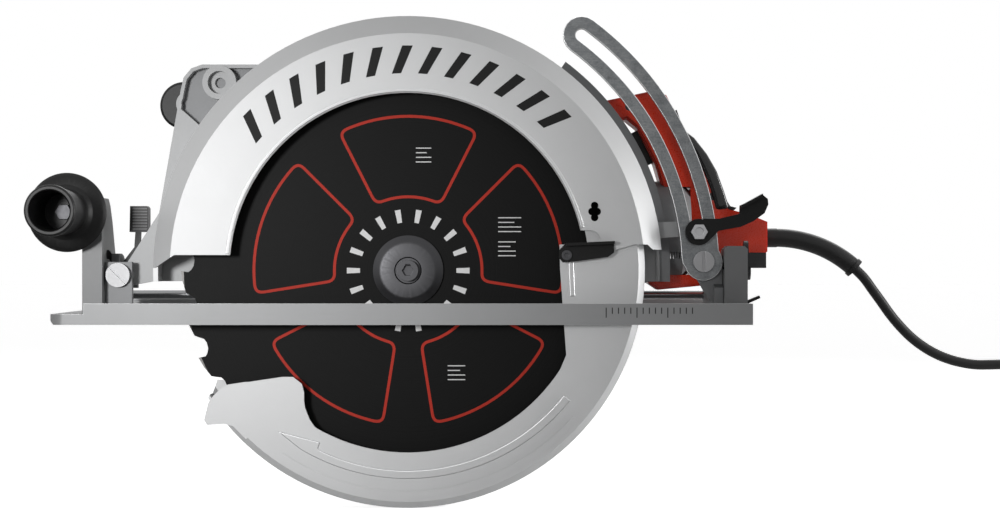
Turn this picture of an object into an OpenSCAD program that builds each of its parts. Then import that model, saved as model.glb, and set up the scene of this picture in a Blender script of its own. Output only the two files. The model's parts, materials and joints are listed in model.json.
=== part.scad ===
/* [Blade] */
// Diameter over the tooth tips
blade_d = 414.3; // [405:0.1:420]
// Thickness of the blade plate
blade_t = 2.4; // [2:0.1:3]
// Width of the kerf that the carbide tips cut
kerf_w = 3.2; // [3.1:0.1:4]
// Number of teeth
tooth_count = 32; // [24:1:40]
// Depth of a gullet below the tips
gullet_depth = 12; // [8:0.5:16]
// Diameter of the arbor hole
arbor_d = 25.4; // [20:0.1:28]
// Diameter of the clamping washers
washer_d = 64; // [56:1:70]

/* [Cutting position] */
// Deepest cut below the sole
cut_depth = 158.75; // [156:0.25:162]
// From the blade to the near edge of the foot
near_strip = 45; // [45:0.5:60]
// Height of the bevel axis above the sole
bevel_axis_z = 10; // [8:0.5:12]
// Largest bevel, in degrees
bevel_max = 45; // [30:1:48]

/* [Foot] */
// Reach of the foot ahead of the arbor
foot_front = 320; // [316:1:340]
// Reach of the foot behind the arbor
foot_rear = 309.5; // [309:0.5:330]
// Width of the foot
foot_w = 254; // [248:1:280]
// Thickness of the sole plate
sole_t = 6; // [4:0.5:7]
// Height of the side rails
rail_h = 19.1; // [16:0.1:20]
// Width of the side rails
rail_w = 8; // [5:0.5:8]
// Thickness of the low toe
toe_h = 9.5; // [8:0.5:12]
// Length of the low toe
toe_l = 32; // [24:1:36]

/* [Guards] */
// Outside radius of the upper guard
upper_r = 231; // [229:0.5:236]
// Radius where the flat face of the upper guard ends
upper_face_r = 214; // [208:1:218]
// Radius of the window in the upper guard
window_r = 160.5; // [156:0.5:166]
// From the blade to the face of the upper guard
upper_half = 25; // [24:0.5:28]
// Wall of the upper guard
upper_wall = 3; // [2.5:0.5:4]
// Outside radius of the lower guard
lower_r = 215; // [212:0.5:218]
// Inner radius of the lower guard's front ring
lower_ring_r = 164.5; // [158:0.5:168]
// From the blade to the face of the lower guard
lower_half = 19; // [16:0.5:19.5]
// Wall of the lower guard
lower_wall = 2.5; // [1.5:0.5:3]
// Radius of the gear case snout that the lower guard turns on
snout_r = 40; // [36:0.5:44]

/* [Depth adjustment] */
// Front pivot, ahead of the arbor
pivot_x = -261.5; // [-263:0.5:-260]
// Height of the front pivot
pivot_z = 44.3; // [42:0.1:47]
// Radius of the front pivot screw's shank
pivot_r = 6; // [4:0.5:7]
// Pin at the foot of the slotted arm, behind the arbor
arm_pin_x = 268.6; // [267:0.1:269]
// Height of that pin
arm_pin_z = 56.5; // [55:0.5:57]
// Bolt in the slotted arm, behind the arbor
arm_bolt_x = 263.8; // [262:0.1:266]
// Height of that bolt
arm_bolt_z = 83.4; // [82:0.5:86]
// Radius of that bolt
arm_bolt_r = 4; // [3:0.5:4.5]
// Half the width of the slotted arm
arm_half_w = 17; // [15:0.5:17.3]
// Half the width of its slot
arm_slot_half = 5.5; // [5.2:0.1:6]
// Thickness of the slotted arm
arm_t = 6; // [4:0.5:6]

/* [Bevel adjustment] */
// Front face of the front upright, ahead of the arbor
front_up_x = 292; // [290:0.5:296]
// Thickness of the front upright
front_up_t = 18; // [16:0.5:18]
// Height of the front upright
front_up_z = 114; // [112:1:118]
// Thickness of the rear upright
rear_up_t = 21.1; // [16:0.1:22]
// Height of the rear upright
rear_up_z = 70.7; // [68:0.1:74]
// Radius of the tie rod
rod_r = 4.25; // [3:0.25:5]
// From the blade to the tie rod
rod_y = 135; // [130:1:140]
// Height of the tie rod
rod_z = 24.5; // [24:0.5:28]

/* [Front grip] */
// Grip axis, ahead of the arbor
grip_x = -302.8; // [-306:0.1:-302]
// Height of the grip axis
grip_z = 100.4; // [100:0.1:104]
// Length of the grip from its flange to its end
grip_l = 81; // [60:1:120]
// Radius of the grip tube at its flange
grip_r = 19.4; // [18:0.1:22]
// Radius of the flange
grip_flange_r = 35.4; // [30:0.1:35.5]
// Radius of the hollow in the grip
grip_hollow_r = 17.2; // [12:0.1:17.5]

/* [Drive] */
// Module of the worm gearing
gear_module = 2; // [1.6:0.1:2.2]
// Teeth of the worm wheel
wheel_teeth = 24; // [22:1:25]
// Starts of the worm
worm_starts = 3; // [2:1:3]
// Pitch radius of the worm
worm_r = 13; // [12:0.5:14]
// From the blade to the worm's axis
drive_y = 76; // [76:0.5:80]
// Radius of the motor housing
motor_r = 49; // [46:0.5:49.5]
// Rear end of the motor housing, behind the arbor
motor_rear = 222; // [216:1:224]
// Radius of the armature shaft
shaft_r = 6; // [5:0.5:7]

/* [Handle] */
// Width of the handle
handle_w = 46; // [40:1:50]
// Rounding of the handle's edges
handle_round = 9; // [4:0.5:10]

/* [Mains lead] */
// Diameter of the mains lead
cord_d = 9.5; // [8:0.1:9.8]
// Length of the strain relief
relief_l = 92; // [80:1:100]

/* [Hidden] */
$fn = 96;
run_gap = 0.06;
side_gap = 0.3;

blade_r = blade_d / 2;
arbor_z = blade_r - cut_depth;
blade_y = near_strip - foot_w / 2;
rail_in = near_strip - rail_w;

front_face_x = -front_up_x + front_up_t;
rear_face_x = foot_rear - 1.7 - rear_up_t;

washer_r = washer_d / 2;
arbor_r = arbor_d / 2;
spindle_r = arbor_r + 1.8;
flange_t = 6;
wheel_r = gear_module * wheel_teeth / 2;
worm_z = arbor_z + wheel_r + worm_r;
wheel_w = 18;
worm_l = 52;
worm_tip_r = worm_r + 0.9 * gear_module;
worm_root_r = worm_r - 1.15 * gear_module;
wheel_tip_r = wheel_r + 0.9 * gear_module;
wheel_root_r = wheel_r - 1.15 * gear_module;
lead = PI * gear_module * worm_starts;
motor_front = 56;

// Upright prism of an outline in X and Z, between two distances behind the blade
module slab(y0, y1) {
    translate([0, blade_y + y1, 0]) rotate([90, 0, 0]) linear_extrude(y1 - y0) children();
}

// Prism of an outline in Y (from the blade) and Z, between two places along the saw
module plate(x0, x1) {
    translate([x0, blade_y, 0]) rotate([90, 0, 90]) linear_extrude(x1 - x0) children();
}

// Round bar across the saw
module across(r, y0, y1, x = 0, z = arbor_z) {
    translate([x, blade_y + y1, z]) rotate([90, 0, 0]) cylinder(h = y1 - y0, r = r);
}

// Round bar along the saw
module along(r, x0, x1, y, z) {
    translate([x0, blade_y + y, z]) rotate([0, 90, 0]) cylinder(h = x1 - x0, r = r);
}

// Round bar standing up
module upright_bar(r, z0, z1, x, y) {
    translate([x, blade_y + y, z0]) cylinder(h = z1 - z0, r = r);
}

// Block between two distances behind the blade
module block(x0, x1, y0, y1, z0, z1) {
    translate([x0, blade_y + y0, z0]) cube([x1 - x0, y1 - y0, z1 - z0]);
}

// Ring turned about the arbor, from an outline of radius and distance in front of the blade
module turned() {
    translate([0, blade_y, arbor_z]) rotate([90, 0, 0]) rotate_extrude() children();
}

function on_circle(r, a) = [r * cos(a), r * sin(a)];

// Outline of a curved band with round ends
arc_steps = 24;
cap_steps = 10;
function arc_points(r, half, a0, a1) = concat(
    [for (i = [0:arc_steps]) on_circle(r + half, a0 + (a1 - a0) * i / arc_steps)],
    [for (i = [1:cap_steps - 1]) on_circle(r, a1) + on_circle(half, a1 + 180 * i / cap_steps)],
    [for (i = [arc_steps:-1:0]) on_circle(r - half, a0 + (a1 - a0) * i / arc_steps)],
    [for (i = [1:cap_steps - 1]) on_circle(r, a0) + on_circle(half, a0 + 180 + 180 * i / cap_steps)]
);

// Curved bar with round ends, about a centre in X and Z
module arc_bar(centre, r, half, a0, a1, y0, y1) {
    slab(y0, y1) translate(centre) polygon(arc_points(r, half, a0, a1));
}

// The same in a plane across the saw, about the bevel axis
module bevel_arc(r, half, a0, a1, x0, x1) {
    plate(x0, x1) translate([0, bevel_axis_z]) polygon(arc_points(r, half, a0, a1));
}

// Foot: sole plate with rails, ribs and a slot for the blade and its guard
slot_front = -upper_r - 9;
slot_rear = upper_r + 2;
slot_far = 2 * lower_half;
notch_half = 24;
tongue_half = 12.8;
tongue_rear = 300;
foot_half = foot_w / 2;
corner_r = 14;
rib_h = 8;
rib_w = 4;
rib_x = [-190, -95, 95, 190];
rib_y = [48, 92];
near_edge = -near_strip;
far_edge = foot_w - near_strip;

module foot_outline() {
    difference() {
        translate([-foot_front, -foot_half]) square([foot_front + foot_rear, foot_w]);
        for (s = [-1, 1])
            translate([-foot_front, s * foot_half]) difference() {
                square(2 * corner_r, center = true);
                translate([corner_r, -s * corner_r]) circle(corner_r);
            }
    }
}

screw_r = 3;
screw_head_r = 5.4;
screw_head_h = 3;
upright_screw_h = 16;
front_screws = [for (y = [-22, 30]) [-front_up_x + front_up_t / 2, y]];
rear_screws = [for (y = [20, 37]) [rear_face_x + rear_up_t / 2, y]];

module foot_plate() color("silver") difference() {
    union() {
        linear_extrude(sole_t) foot_outline();
        intersection() {
            linear_extrude(toe_h) foot_outline();
            block(-foot_front, -foot_front + toe_l, near_edge, far_edge, 0, toe_h);
        }
        intersection() {
            linear_extrude(rail_h) foot_outline();
            for (y = [near_edge, far_edge - rail_w])
                block(-foot_front + toe_l, foot_rear, y, y + rail_w, 0, rail_h);
        }
        for (y = rib_y)
            block(-foot_front + toe_l, foot_rear - rail_w, slot_far + y - rib_w / 2, slot_far + y + rib_w / 2, 0, rib_h);
        for (x = rib_x)
            block(x - rib_w / 2, x + rib_w / 2, slot_far, far_edge, 0, rib_h);
        block(slot_rear, slot_rear + rib_w, notch_half, far_edge, 0, rib_h);
        block(slot_front - 2 * rib_w, slot_front - rib_w, notch_half, far_edge, 0, rib_h);
        upright_bar(clamp_boss_r, 0, clamp_boss_z, clamp_x, clamp_y);
    }
    block(slot_front, slot_rear, -rail_in, slot_far, -1, rail_h + 1);
    block(front_face_x - 1, slot_front + 1, -notch_half, notch_half, -1, rail_h + 1);
    block(slot_rear - 1, rear_face_x + 1, -notch_half, notch_half, -1, rail_h + 1);
    block(-front_up_x - 0.2, front_face_x, -tongue_half - 0.2, tongue_half + 0.2, -1, rail_h);
    block(rear_face_x, tongue_rear + 0.2, -tongue_half - 0.2, tongue_half + 0.2, -1, rail_h);
    // Room for the pivot screw and the leaning guard at full bevel
    block(pivot_x - pivot_head_r - 2, pivot_x + pivot_head_r + 2, 3.5 - near_strip, 1 - rail_in, sole_t, rail_h + 1);
    translate([(toe_l - foot_front + slot_rear) / 2, blade_y - rail_in, rail_h]) rotate([45, 0, 0])
        cube([slot_rear - toe_l + foot_front, 5.4, 5.4], center = true);
    // Seat of the front upright, and room under the gear case
    block(-front_up_x - 0.2, front_face_x, front_up_near - 0.2, front_web_y + 0.2, sole_t, rail_h + 1);
    block(-case_r - 6, case_r + 6, slot_far, case_back + 6, sole_t, rail_h + 1);
    for (s = concat(front_screws, rear_screws)) {
        upright_bar(screw_r + 0.2, -1, sole_t + 1, s.x, s.y);
        upright_bar(screw_head_r + 0.2, -1, screw_head_h, s.x, s.y);
    }
    upright_bar(clamp_screw_r + run_gap, -1, clamp_boss_z + 1, clamp_x, clamp_y);
    translate([-foot_front, 0, 0]) rotate([0, 45, 0]) cube([6, foot_w + 2, 6], center = true);
}

// Uprights: quadrants that stand on the foot and let the saw tilt
front_clamp_r = 53;
front_clamp_a = 49;
rear_clamp_r = 43.5;
rear_clamp_a = 60;
clamp_bolt_r = 4;
clamp_slot_half = 4.3;
tilt_pin_r = 4.5;
tongue_z = 0.5;
grip_boss_r = 15;
grip_boss_y = -40;
grip_bolt_r = 4;
front_up_near = -30;
rear_up_near = -18;
front_web_y = 56;

module front_upright() color("lightgray") difference() {
    union() {
        plate(-front_up_x, front_face_x) polygon([
            [front_up_near, sole_t], [-tongue_half, sole_t], [-tongue_half, tongue_z],
            [tongue_half, tongue_z], [tongue_half, sole_t], [front_web_y, sole_t], [52, 20], [46, 50],
            [33, 76], [24, 93], [13, front_up_z - 6], [4, front_up_z], [front_up_near + 8, front_up_z],
            [front_up_near, front_up_z - 8]
        ]);
        across(grip_boss_r, grip_boss_y, -8, grip_x + 12, grip_z);
        across(grip_boss_r - 2, grip_boss_y, -8, grip_x, grip_z);
    }
    bevel_arc(front_clamp_r, clamp_slot_half, front_clamp_a - 1, front_clamp_a + bevel_max + 1,
              -front_up_x - 1, front_face_x + 1);
    along(tilt_pin_r + run_gap, front_face_x - 13, front_face_x + 1, 0, bevel_axis_z);
    across(grip_bolt_r + 0.1, grip_boss_y - 1, 0, grip_x, grip_z);
    for (s = front_screws) upright_bar(screw_r + 0.1, 0, sole_t + upright_screw_h + 1, s.x, s.y);
    // Relief pocket in the front face
    block(-front_up_x - 1, -front_up_x + 3, front_up_near + 6, -tongue_half, 30, 74);
}

module rear_upright() color("lightgray") difference() {
    union() {
        plate(rear_face_x, rear_face_x + rear_up_t) polygon([
            [rear_up_near, sole_t], [-tongue_half, sole_t], [-tongue_half, sole_t + 0.01],
            [tongue_half, sole_t + 0.01], [tongue_half, sole_t], [45, sole_t], [45, 38],
            [30, rear_up_z - 12], [16, rear_up_z - 7], [7, rear_up_z], [rear_up_near, rear_up_z]
        ]);
        plate(rear_face_x, tongue_rear) polygon([
            [-tongue_half, tongue_z], [tongue_half, tongue_z], [tongue_half, sole_t + 1],
            [-tongue_half, sole_t + 1]
        ]);
    }
    bevel_arc(rear_clamp_r, clamp_slot_half, rear_clamp_a - 1, rear_clamp_a + bevel_max + 1,
              rear_face_x - 1, rear_face_x + rear_up_t + 1);
    along(tilt_pin_r + run_gap, rear_face_x - 1, rear_face_x + 12, 0, bevel_axis_z);
    for (s = rear_screws) upright_bar(screw_r + 0.1, 0, sole_t + upright_screw_h + 1, s.x, s.y);
    // Rounded top corners
    for (x = [rear_face_x, rear_face_x + rear_up_t])
        translate([x, blade_y, rear_up_z]) rotate([0, 45, 0]) cube([4, 200, 4], center = true);
}

module upright_screws() color("gray") for (s = concat(front_screws, rear_screws)) {
    upright_bar(screw_r, 1, sole_t + upright_screw_h, s.x, s.y);
    difference() {
        upright_bar(screw_head_r, 0.6, screw_head_h - 0.1, s.x, s.y);
        translate([s.x, blade_y + s.y, 0]) cylinder(h = 1.8, r = 2.4, $fn = 6);
    }
}

// Front grip: a hollow tube with a flange, pointing towards the near side
grip_end_y = grip_boss_y - grip_l;
flange_h = 10;

module front_grip() color([0.09, 0.09, 0.09]) {
    translate([grip_x, blade_y + grip_boss_y, grip_z]) rotate([90, 0, 0]) rotate_extrude() polygon([
        [grip_bolt_r + 0.1, 0], [grip_flange_r - 3, 0], [grip_flange_r, 3], [grip_flange_r, 5],
        [grip_flange_r - 4, flange_h - 1.5], [grip_r + 5, flange_h], [grip_r + 1.5, flange_h + 4],
        [grip_r, flange_h + 10], [grip_r + 1.2, grip_l / 2], [grip_r + 0.6, grip_l - 12],
        [grip_r + 3, grip_l - 7], [grip_r + 3, grip_l - 2], [grip_r + 1.5, grip_l],
        [grip_hollow_r + 1, grip_l], [grip_hollow_r, grip_l - 2], [grip_hollow_r, 16],
        [grip_bolt_r + 0.1, 16]
    ]);
}

module front_grip_bolt() color("gray") {
    across(grip_bolt_r, grip_boss_y - 16, -2, grip_x, grip_z);
    translate([grip_x, blade_y + grip_boss_y - 16, grip_z]) rotate([90, 0, 0])
        cylinder(h = 5, r = 7.5, $fn = 6);
}

// Clamp lever for a rip guide, at the rear of the foot
clamp_x = 298;
clamp_y = 102;
clamp_boss_r = 8;
clamp_boss_z = 9;
clamp_screw_r = 3;
clamp_lever_end = [332, 24.1];

module rip_clamp_lever() color([0.1, 0.1, 0.1]) {
    upright_bar(clamp_screw_r, 0.6, clamp_boss_z + 4, clamp_x, clamp_y);
    upright_bar(6.5, clamp_boss_z + side_gap, clamp_boss_z + 4, clamp_x, clamp_y);
    slab(clamp_y - 5, clamp_y + 5) polygon([
        [clamp_x, clamp_boss_z + 1], [clamp_x + 9, clamp_boss_z + 1],
        [clamp_lever_end.x + 1, clamp_lever_end.y - 2.4], [clamp_lever_end.x, clamp_lever_end.y],
        [clamp_x + 7, clamp_boss_z + 4], [clamp_x, clamp_boss_z + 4]
    ]);
}

// Tilt frame: two brackets joined by a tie rod, turning about the bevel axis
bracket_t = 8;
front_br_x1 = front_face_x + 0.4 + bracket_t;
front_br_x0 = front_face_x + 0.4;
rear_br_x1 = rear_face_x - 0.4;
rear_br_x0 = rear_face_x - 0.4 - bracket_t;
knuckle_r = 11;
knuckle_y0 = -7.7;
knuckle_y1 = 15.7;
ear_t = 8;
ear_half = 12;
crank_y = 72;
rod_block = 8.5;
crank_out = 4;
front_clamp_p = on_circle(front_clamp_r, front_clamp_a);
rear_clamp_p = on_circle(rear_clamp_r, rear_clamp_a);

module front_tilt_bracket() color([0.45, 0.45, 0.45]) difference() {
    union() {
        plate(front_br_x0, front_br_x1) polygon([
            [knuckle_y0 - side_gap - ear_t, pivot_z + ear_half], [knuckle_y0 - side_gap - ear_t, 14],
            [-9, 3.5], [9, 3.5], [20, 8], [rod_z + rod_block, rod_z - rod_block], [46, 40],
            [45, 57], [36, 62], [26, 64], [knuckle_y1 + side_gap, 64], [0, pivot_z + ear_half]
        ]);
        block(front_br_x0, pivot_x + ear_half, knuckle_y0 - side_gap - ear_t, knuckle_y0 - side_gap,
              pivot_z - ear_half, pivot_z + ear_half);
        block(front_br_x0, pivot_x + ear_half, knuckle_y1 + side_gap, knuckle_y1 + side_gap + 6,
              pivot_z - ear_half, pivot_z + ear_half);
        block(front_br_x0, front_br_x1 + 5, knuckle_y0 - side_gap - ear_t, knuckle_y1 + side_gap + 6,
              rod_z - rod_block, pivot_z - ear_half - 1);
        block(front_br_x0, pivot_x + ear_half, knuckle_y0 - side_gap - ear_t, knuckle_y0 - side_gap,
              rod_z - 6, pivot_z - ear_half + 1);
        block(front_br_x0, front_br_x1, 26, crank_y + 8, rod_z - rod_block, rod_z + rod_block);
        block(-front_up_x + 1, front_br_x1, crank_y, crank_y + 8, rod_z - rod_block, rod_z + rod_block);
        block(-front_up_x + 1, front_face_x - crank_out, crank_y, rod_y + rod_block,
              rod_z - rod_block, rod_z + rod_block);
    }
    block(front_br_x0 - 1, pivot_x + ear_half + 1, knuckle_y0 - side_gap, knuckle_y1 + side_gap,
          pivot_z - ear_half - 1, 100);
    across(pivot_r + run_gap, -40, 40, pivot_x, pivot_z);
    across(pivot_nut_r + 0.5, knuckle_y1 + side_gap + 6, knuckle_y1 + side_gap + 10, pivot_x, pivot_z);
    along(tilt_pin_r + run_gap, front_br_x0 - 1, front_br_x1 + 1, 0, bevel_axis_z);
    along(8, front_br_x1 - 1, front_br_x1 + 8, 0, bevel_axis_z);
    along(clamp_bolt_r + run_gap, front_br_x0 - 1, front_br_x1 + 1, front_clamp_p.x,
          bevel_axis_z + front_clamp_p.y);
    along(rod_r + 0.05, -front_up_x + 5, front_face_x, rod_y, rod_z);
}

arm_y0 = -8;
arm_y1 = arm_y0 + arm_t;
arm_ear_y0 = arm_y1 + side_gap + 0.1;
arm_ear_y1 = arm_ear_y0 + 10;
arm_ear_r = 14;
arm_pin_r = 5;

module rear_tilt_bracket() color([0.45, 0.45, 0.45]) difference() {
    union() {
        plate(rear_br_x0, rear_br_x1) polygon([
            [-13, 3.5], [13, 3.5], [22, 8], [40, rod_z - rod_block], [40, 46], [32, 58], [20, 62],
            [arm_ear_y0, 62], [arm_ear_y0, 36], [-13, 33]
        ]);
        slab(arm_ear_y0, arm_ear_y1) union() {
            translate([arm_pin_x, arm_pin_z]) circle(arm_ear_r);
            polygon([
                [arm_pin_x - arm_ear_r, arm_pin_z], [arm_pin_x + arm_ear_r, arm_pin_z],
                [rear_br_x1, arm_pin_z - 4], [rear_br_x1, 20], [rear_br_x0 - 3, 20]
            ]);
        }
        block(rear_br_x0, rear_br_x1, 30, crank_y + 8, rod_z - rod_block, rod_z + rod_block);
        block(rear_br_x0, rear_face_x + 8, crank_y, crank_y + 8, rod_z - rod_block, rod_z + rod_block);
        block(rear_face_x - 5, rear_face_x + 8, crank_y, rod_y + rod_block,
              rod_z - rod_block, rod_z + rod_block);
    }
    across(arm_pin_r + 0.05, arm_ear_y0 - 1, arm_ear_y1 + 1, arm_pin_x, arm_pin_z);
    along(tilt_pin_r + run_gap, rear_br_x0 - 1, rear_br_x1 + 1, 0, bevel_axis_z);
    along(clamp_bolt_r + run_gap, rear_br_x0 - 1, rear_br_x1 + 1, rear_clamp_p.x,
          bevel_axis_z + rear_clamp_p.y);
    along(rod_r + 0.05, rear_face_x - 6, rear_face_x + 4, rod_y, rod_z);
}

module tie_rod() color("lightgray")
    along(rod_r, -front_up_x + 5.5, rear_face_x + 3.5, rod_y, rod_z);

module tilt_pins() color("lightgray") {
    along(tilt_pin_r, front_face_x - 12, front_br_x1 + 2, 0, bevel_axis_z);
    along(7, front_br_x1 - 0.9, front_br_x1 + 2, 0, bevel_axis_z);
    along(tilt_pin_r, rear_br_x0 - 2, rear_face_x + 11, 0, bevel_axis_z);
    along(7, rear_br_x0 - 3, rear_br_x0 - 0.1, 0, bevel_axis_z);
}

lever_hub_t = 6;
rear_lever_x = rear_face_x + rear_up_t + 0.5;

module bevel_clamp_bolts() color("gray") {
    z0 = bevel_axis_z + front_clamp_p.y;
    z1 = bevel_axis_z + rear_clamp_p.y;
    along(clamp_bolt_r, -front_up_x - 3, front_br_x1 + 0.4 + lever_hub_t, front_clamp_p.x, z0);
    along(7, -front_up_x - 5, -front_up_x - 0.4, front_clamp_p.x, z0);
    along(clamp_bolt_r, rear_br_x0 - 3, rear_lever_x + lever_hub_t, rear_clamp_p.x, z1);
    along(6.5, rear_br_x0 - 5, rear_br_x0 - 0.1, rear_clamp_p.x, z1);
}

screw_slot_w = 2;
pivot_nut_r = 9;
pivot_head_r = 10.9;

module depth_pivot_screw() color("lightgray") {
    y0 = knuckle_y0 - side_gap - ear_t;
    across(pivot_r, y0 - 1, knuckle_y1 + side_gap + 8, pivot_x, pivot_z);
    difference() {
        across(pivot_head_r, y0 - 6, y0 - 0.1, pivot_x, pivot_z);
        translate([pivot_x, blade_y + y0 - 6, pivot_z]) rotate([0, 45, 0])
            cube([30, 3, screw_slot_w], center = true);
    }
    difference() {
        across(pivot_nut_r, knuckle_y1 + side_gap + 6.1, knuckle_y1 + side_gap + 9, pivot_x, pivot_z);
        across(pivot_r - 1, knuckle_y1 + side_gap + 8.5, knuckle_y1 + side_gap + 10, pivot_x, pivot_z);
    }
}

module arm_pin_screw() color("lightgray") {
    across(arm_pin_r, arm_y0 - 3, arm_ear_y1 + 5, arm_pin_x, arm_pin_z);
    difference() {
        across(9.5, arm_y0 - 5, arm_y0 - side_gap, arm_pin_x, arm_pin_z);
        translate([arm_pin_x, blade_y + arm_y0 - 5, arm_pin_z]) cube([3, 4, 30], center = true);
    }
    across(8, arm_ear_y1 + 0.1, arm_ear_y1 + 5, arm_pin_x, arm_pin_z);
}

// Bevel levers: a hub on the clamp bolt and a ribbed thumb paddle
module front_bevel_lever() color([0.1, 0.1, 0.1]) difference() {
    x0 = front_br_x1 + 0.4;
    y = front_clamp_p.x;
    z = bevel_axis_z + front_clamp_p.y;
    union() {
        along(8, x0, x0 + lever_hub_t, y, z);
        slab(y - 4, y + 4) polygon([
            [x0, z], [x0 + lever_hub_t, z], [x0 + 15, z + 18], [x0 + 15.5, z + 34], [x0 + 11, z + 34],
            [x0 + 10, z + 20], [x0, z + 7]
        ]);
        slab(y - 6.5, y + 6.5) polygon([
            [x0 + 6, z + 34], [x0 + 23, z + 34], [x0 + 23.5, z + 36], [x0 + 23.5, z + 56],
            [x0 + 22, z + 58], [x0 + 6.5, z + 58]
        ]);
        for (i = [0:7])
            block(x0 + 9, x0 + 22.5, y - 7.3, y + 7.3, z + 36 + 2.7 * i, z + 37.4 + 2.7 * i);
    }
    along(clamp_bolt_r + run_gap, x0 - 1, x0 + 24, y, z);
}

module rear_bevel_lever() color([0.1, 0.1, 0.1]) difference() {
    x0 = rear_lever_x;
    y = rear_clamp_p.x;
    z = bevel_axis_z + rear_clamp_p.y;
    union() {
        plate(x0, x0 + 4) polygon([for (a = [0:15:345]) [y + 10 * cos(a), z + 11 + 17 * sin(a)]]);
        along(8, x0, x0 + lever_hub_t, y, z);
        slab(y - 10, y + 10) polygon([
            [x0 + 3, z + 4], [x0 + 18, z + 3.5], [x0 + 19.5, z + 5], [x0 + 19.5, z + 15],
            [x0 + 18, z + 16.5], [x0 + 3, z + 17]
        ]);
        for (i = [0:5])
            block(x0 + 6, x0 + 20, y - 8 + 3 * i, y - 6.6 + 3 * i, z + 3, z + 17.3);
    }
    along(clamp_bolt_r + run_gap, x0 - 1, x0 + lever_hub_t + 1, y, z);
}

// Slotted depth arm, an arc about the arbor through the clamp bolt, with a lobe round its pin
arm_pin = [arm_pin_x, arm_pin_z];
arm_bolt = [arm_bolt_x, arm_bolt_z];
arm_c = [0, arbor_z];
arm_r = norm(arm_bolt - arm_c);
arm_top_a = 53.6;
function arm_angle(p) = atan2(p.y - arm_c.y, p.x - arm_c.x);

module depth_arm() color([0.55, 0.56, 0.57]) difference() {
    union() {
        arc_bar(arm_c, arm_r, arm_half_w, arm_angle(arm_pin) + 1, arm_top_a, arm_y0, arm_y1);
        across(arm_half_w + 0.3, arm_y0, arm_y1, arm_pin_x, arm_pin_z);
    }
    arc_bar(arm_c, arm_r, arm_slot_half, arm_angle(arm_bolt), arm_top_a, arm_y0 - 1, arm_y1 + 1);
    across(arm_pin_r + run_gap, arm_y0 - 1, arm_y1 + 1, arm_pin_x, arm_pin_z);
}

// Upper guard with its ear, pivot arm and bolt boss, one casting
ear_y0 = 6;
ear_y1 = 22;
ear_floor_y = 17;
ear_hole = [-173, 220.5];
ear_hole_r = 4.9;
guard_back = 26;
boss_y0 = 0.6;
snout_clear = 0.5;

module upper_profile() polygon([
    [window_r, upper_half - 5], [window_r, upper_half - 1], [window_r + 1, upper_half],
    [upper_face_r, upper_half], [upper_r, upper_half - 13], [upper_r, -guard_back],
    [snout_r + snout_clear, -guard_back], [snout_r + snout_clear, upper_wall - guard_back],
    [upper_r - upper_wall, upper_wall - guard_back],
    [upper_r - upper_wall, upper_half - 14], [upper_face_r - 1, upper_half - upper_wall],
    [window_r + upper_wall, upper_half - upper_wall], [window_r + upper_wall, upper_half - 5]
]);

module ear_outline() polygon([
    [-231, 86], [-208.5, 214], [-206, 225], [-199, 233.5], [-189, 237], [-138, 237], [-110, 226],
    [-110, 200], [-200, 100]
]);

module pivot_arm_outline() {
    translate([pivot_x, pivot_z]) circle(knuckle_r);
    polygon([
        [-222, 110], [pivot_x + 4, pivot_z + knuckle_r - 0.8], [pivot_x, pivot_z],
        [pivot_x + 3, pivot_z - knuckle_r + 0.7], [-232, 38.8], [-222, 38.8]
    ]);
}

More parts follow.
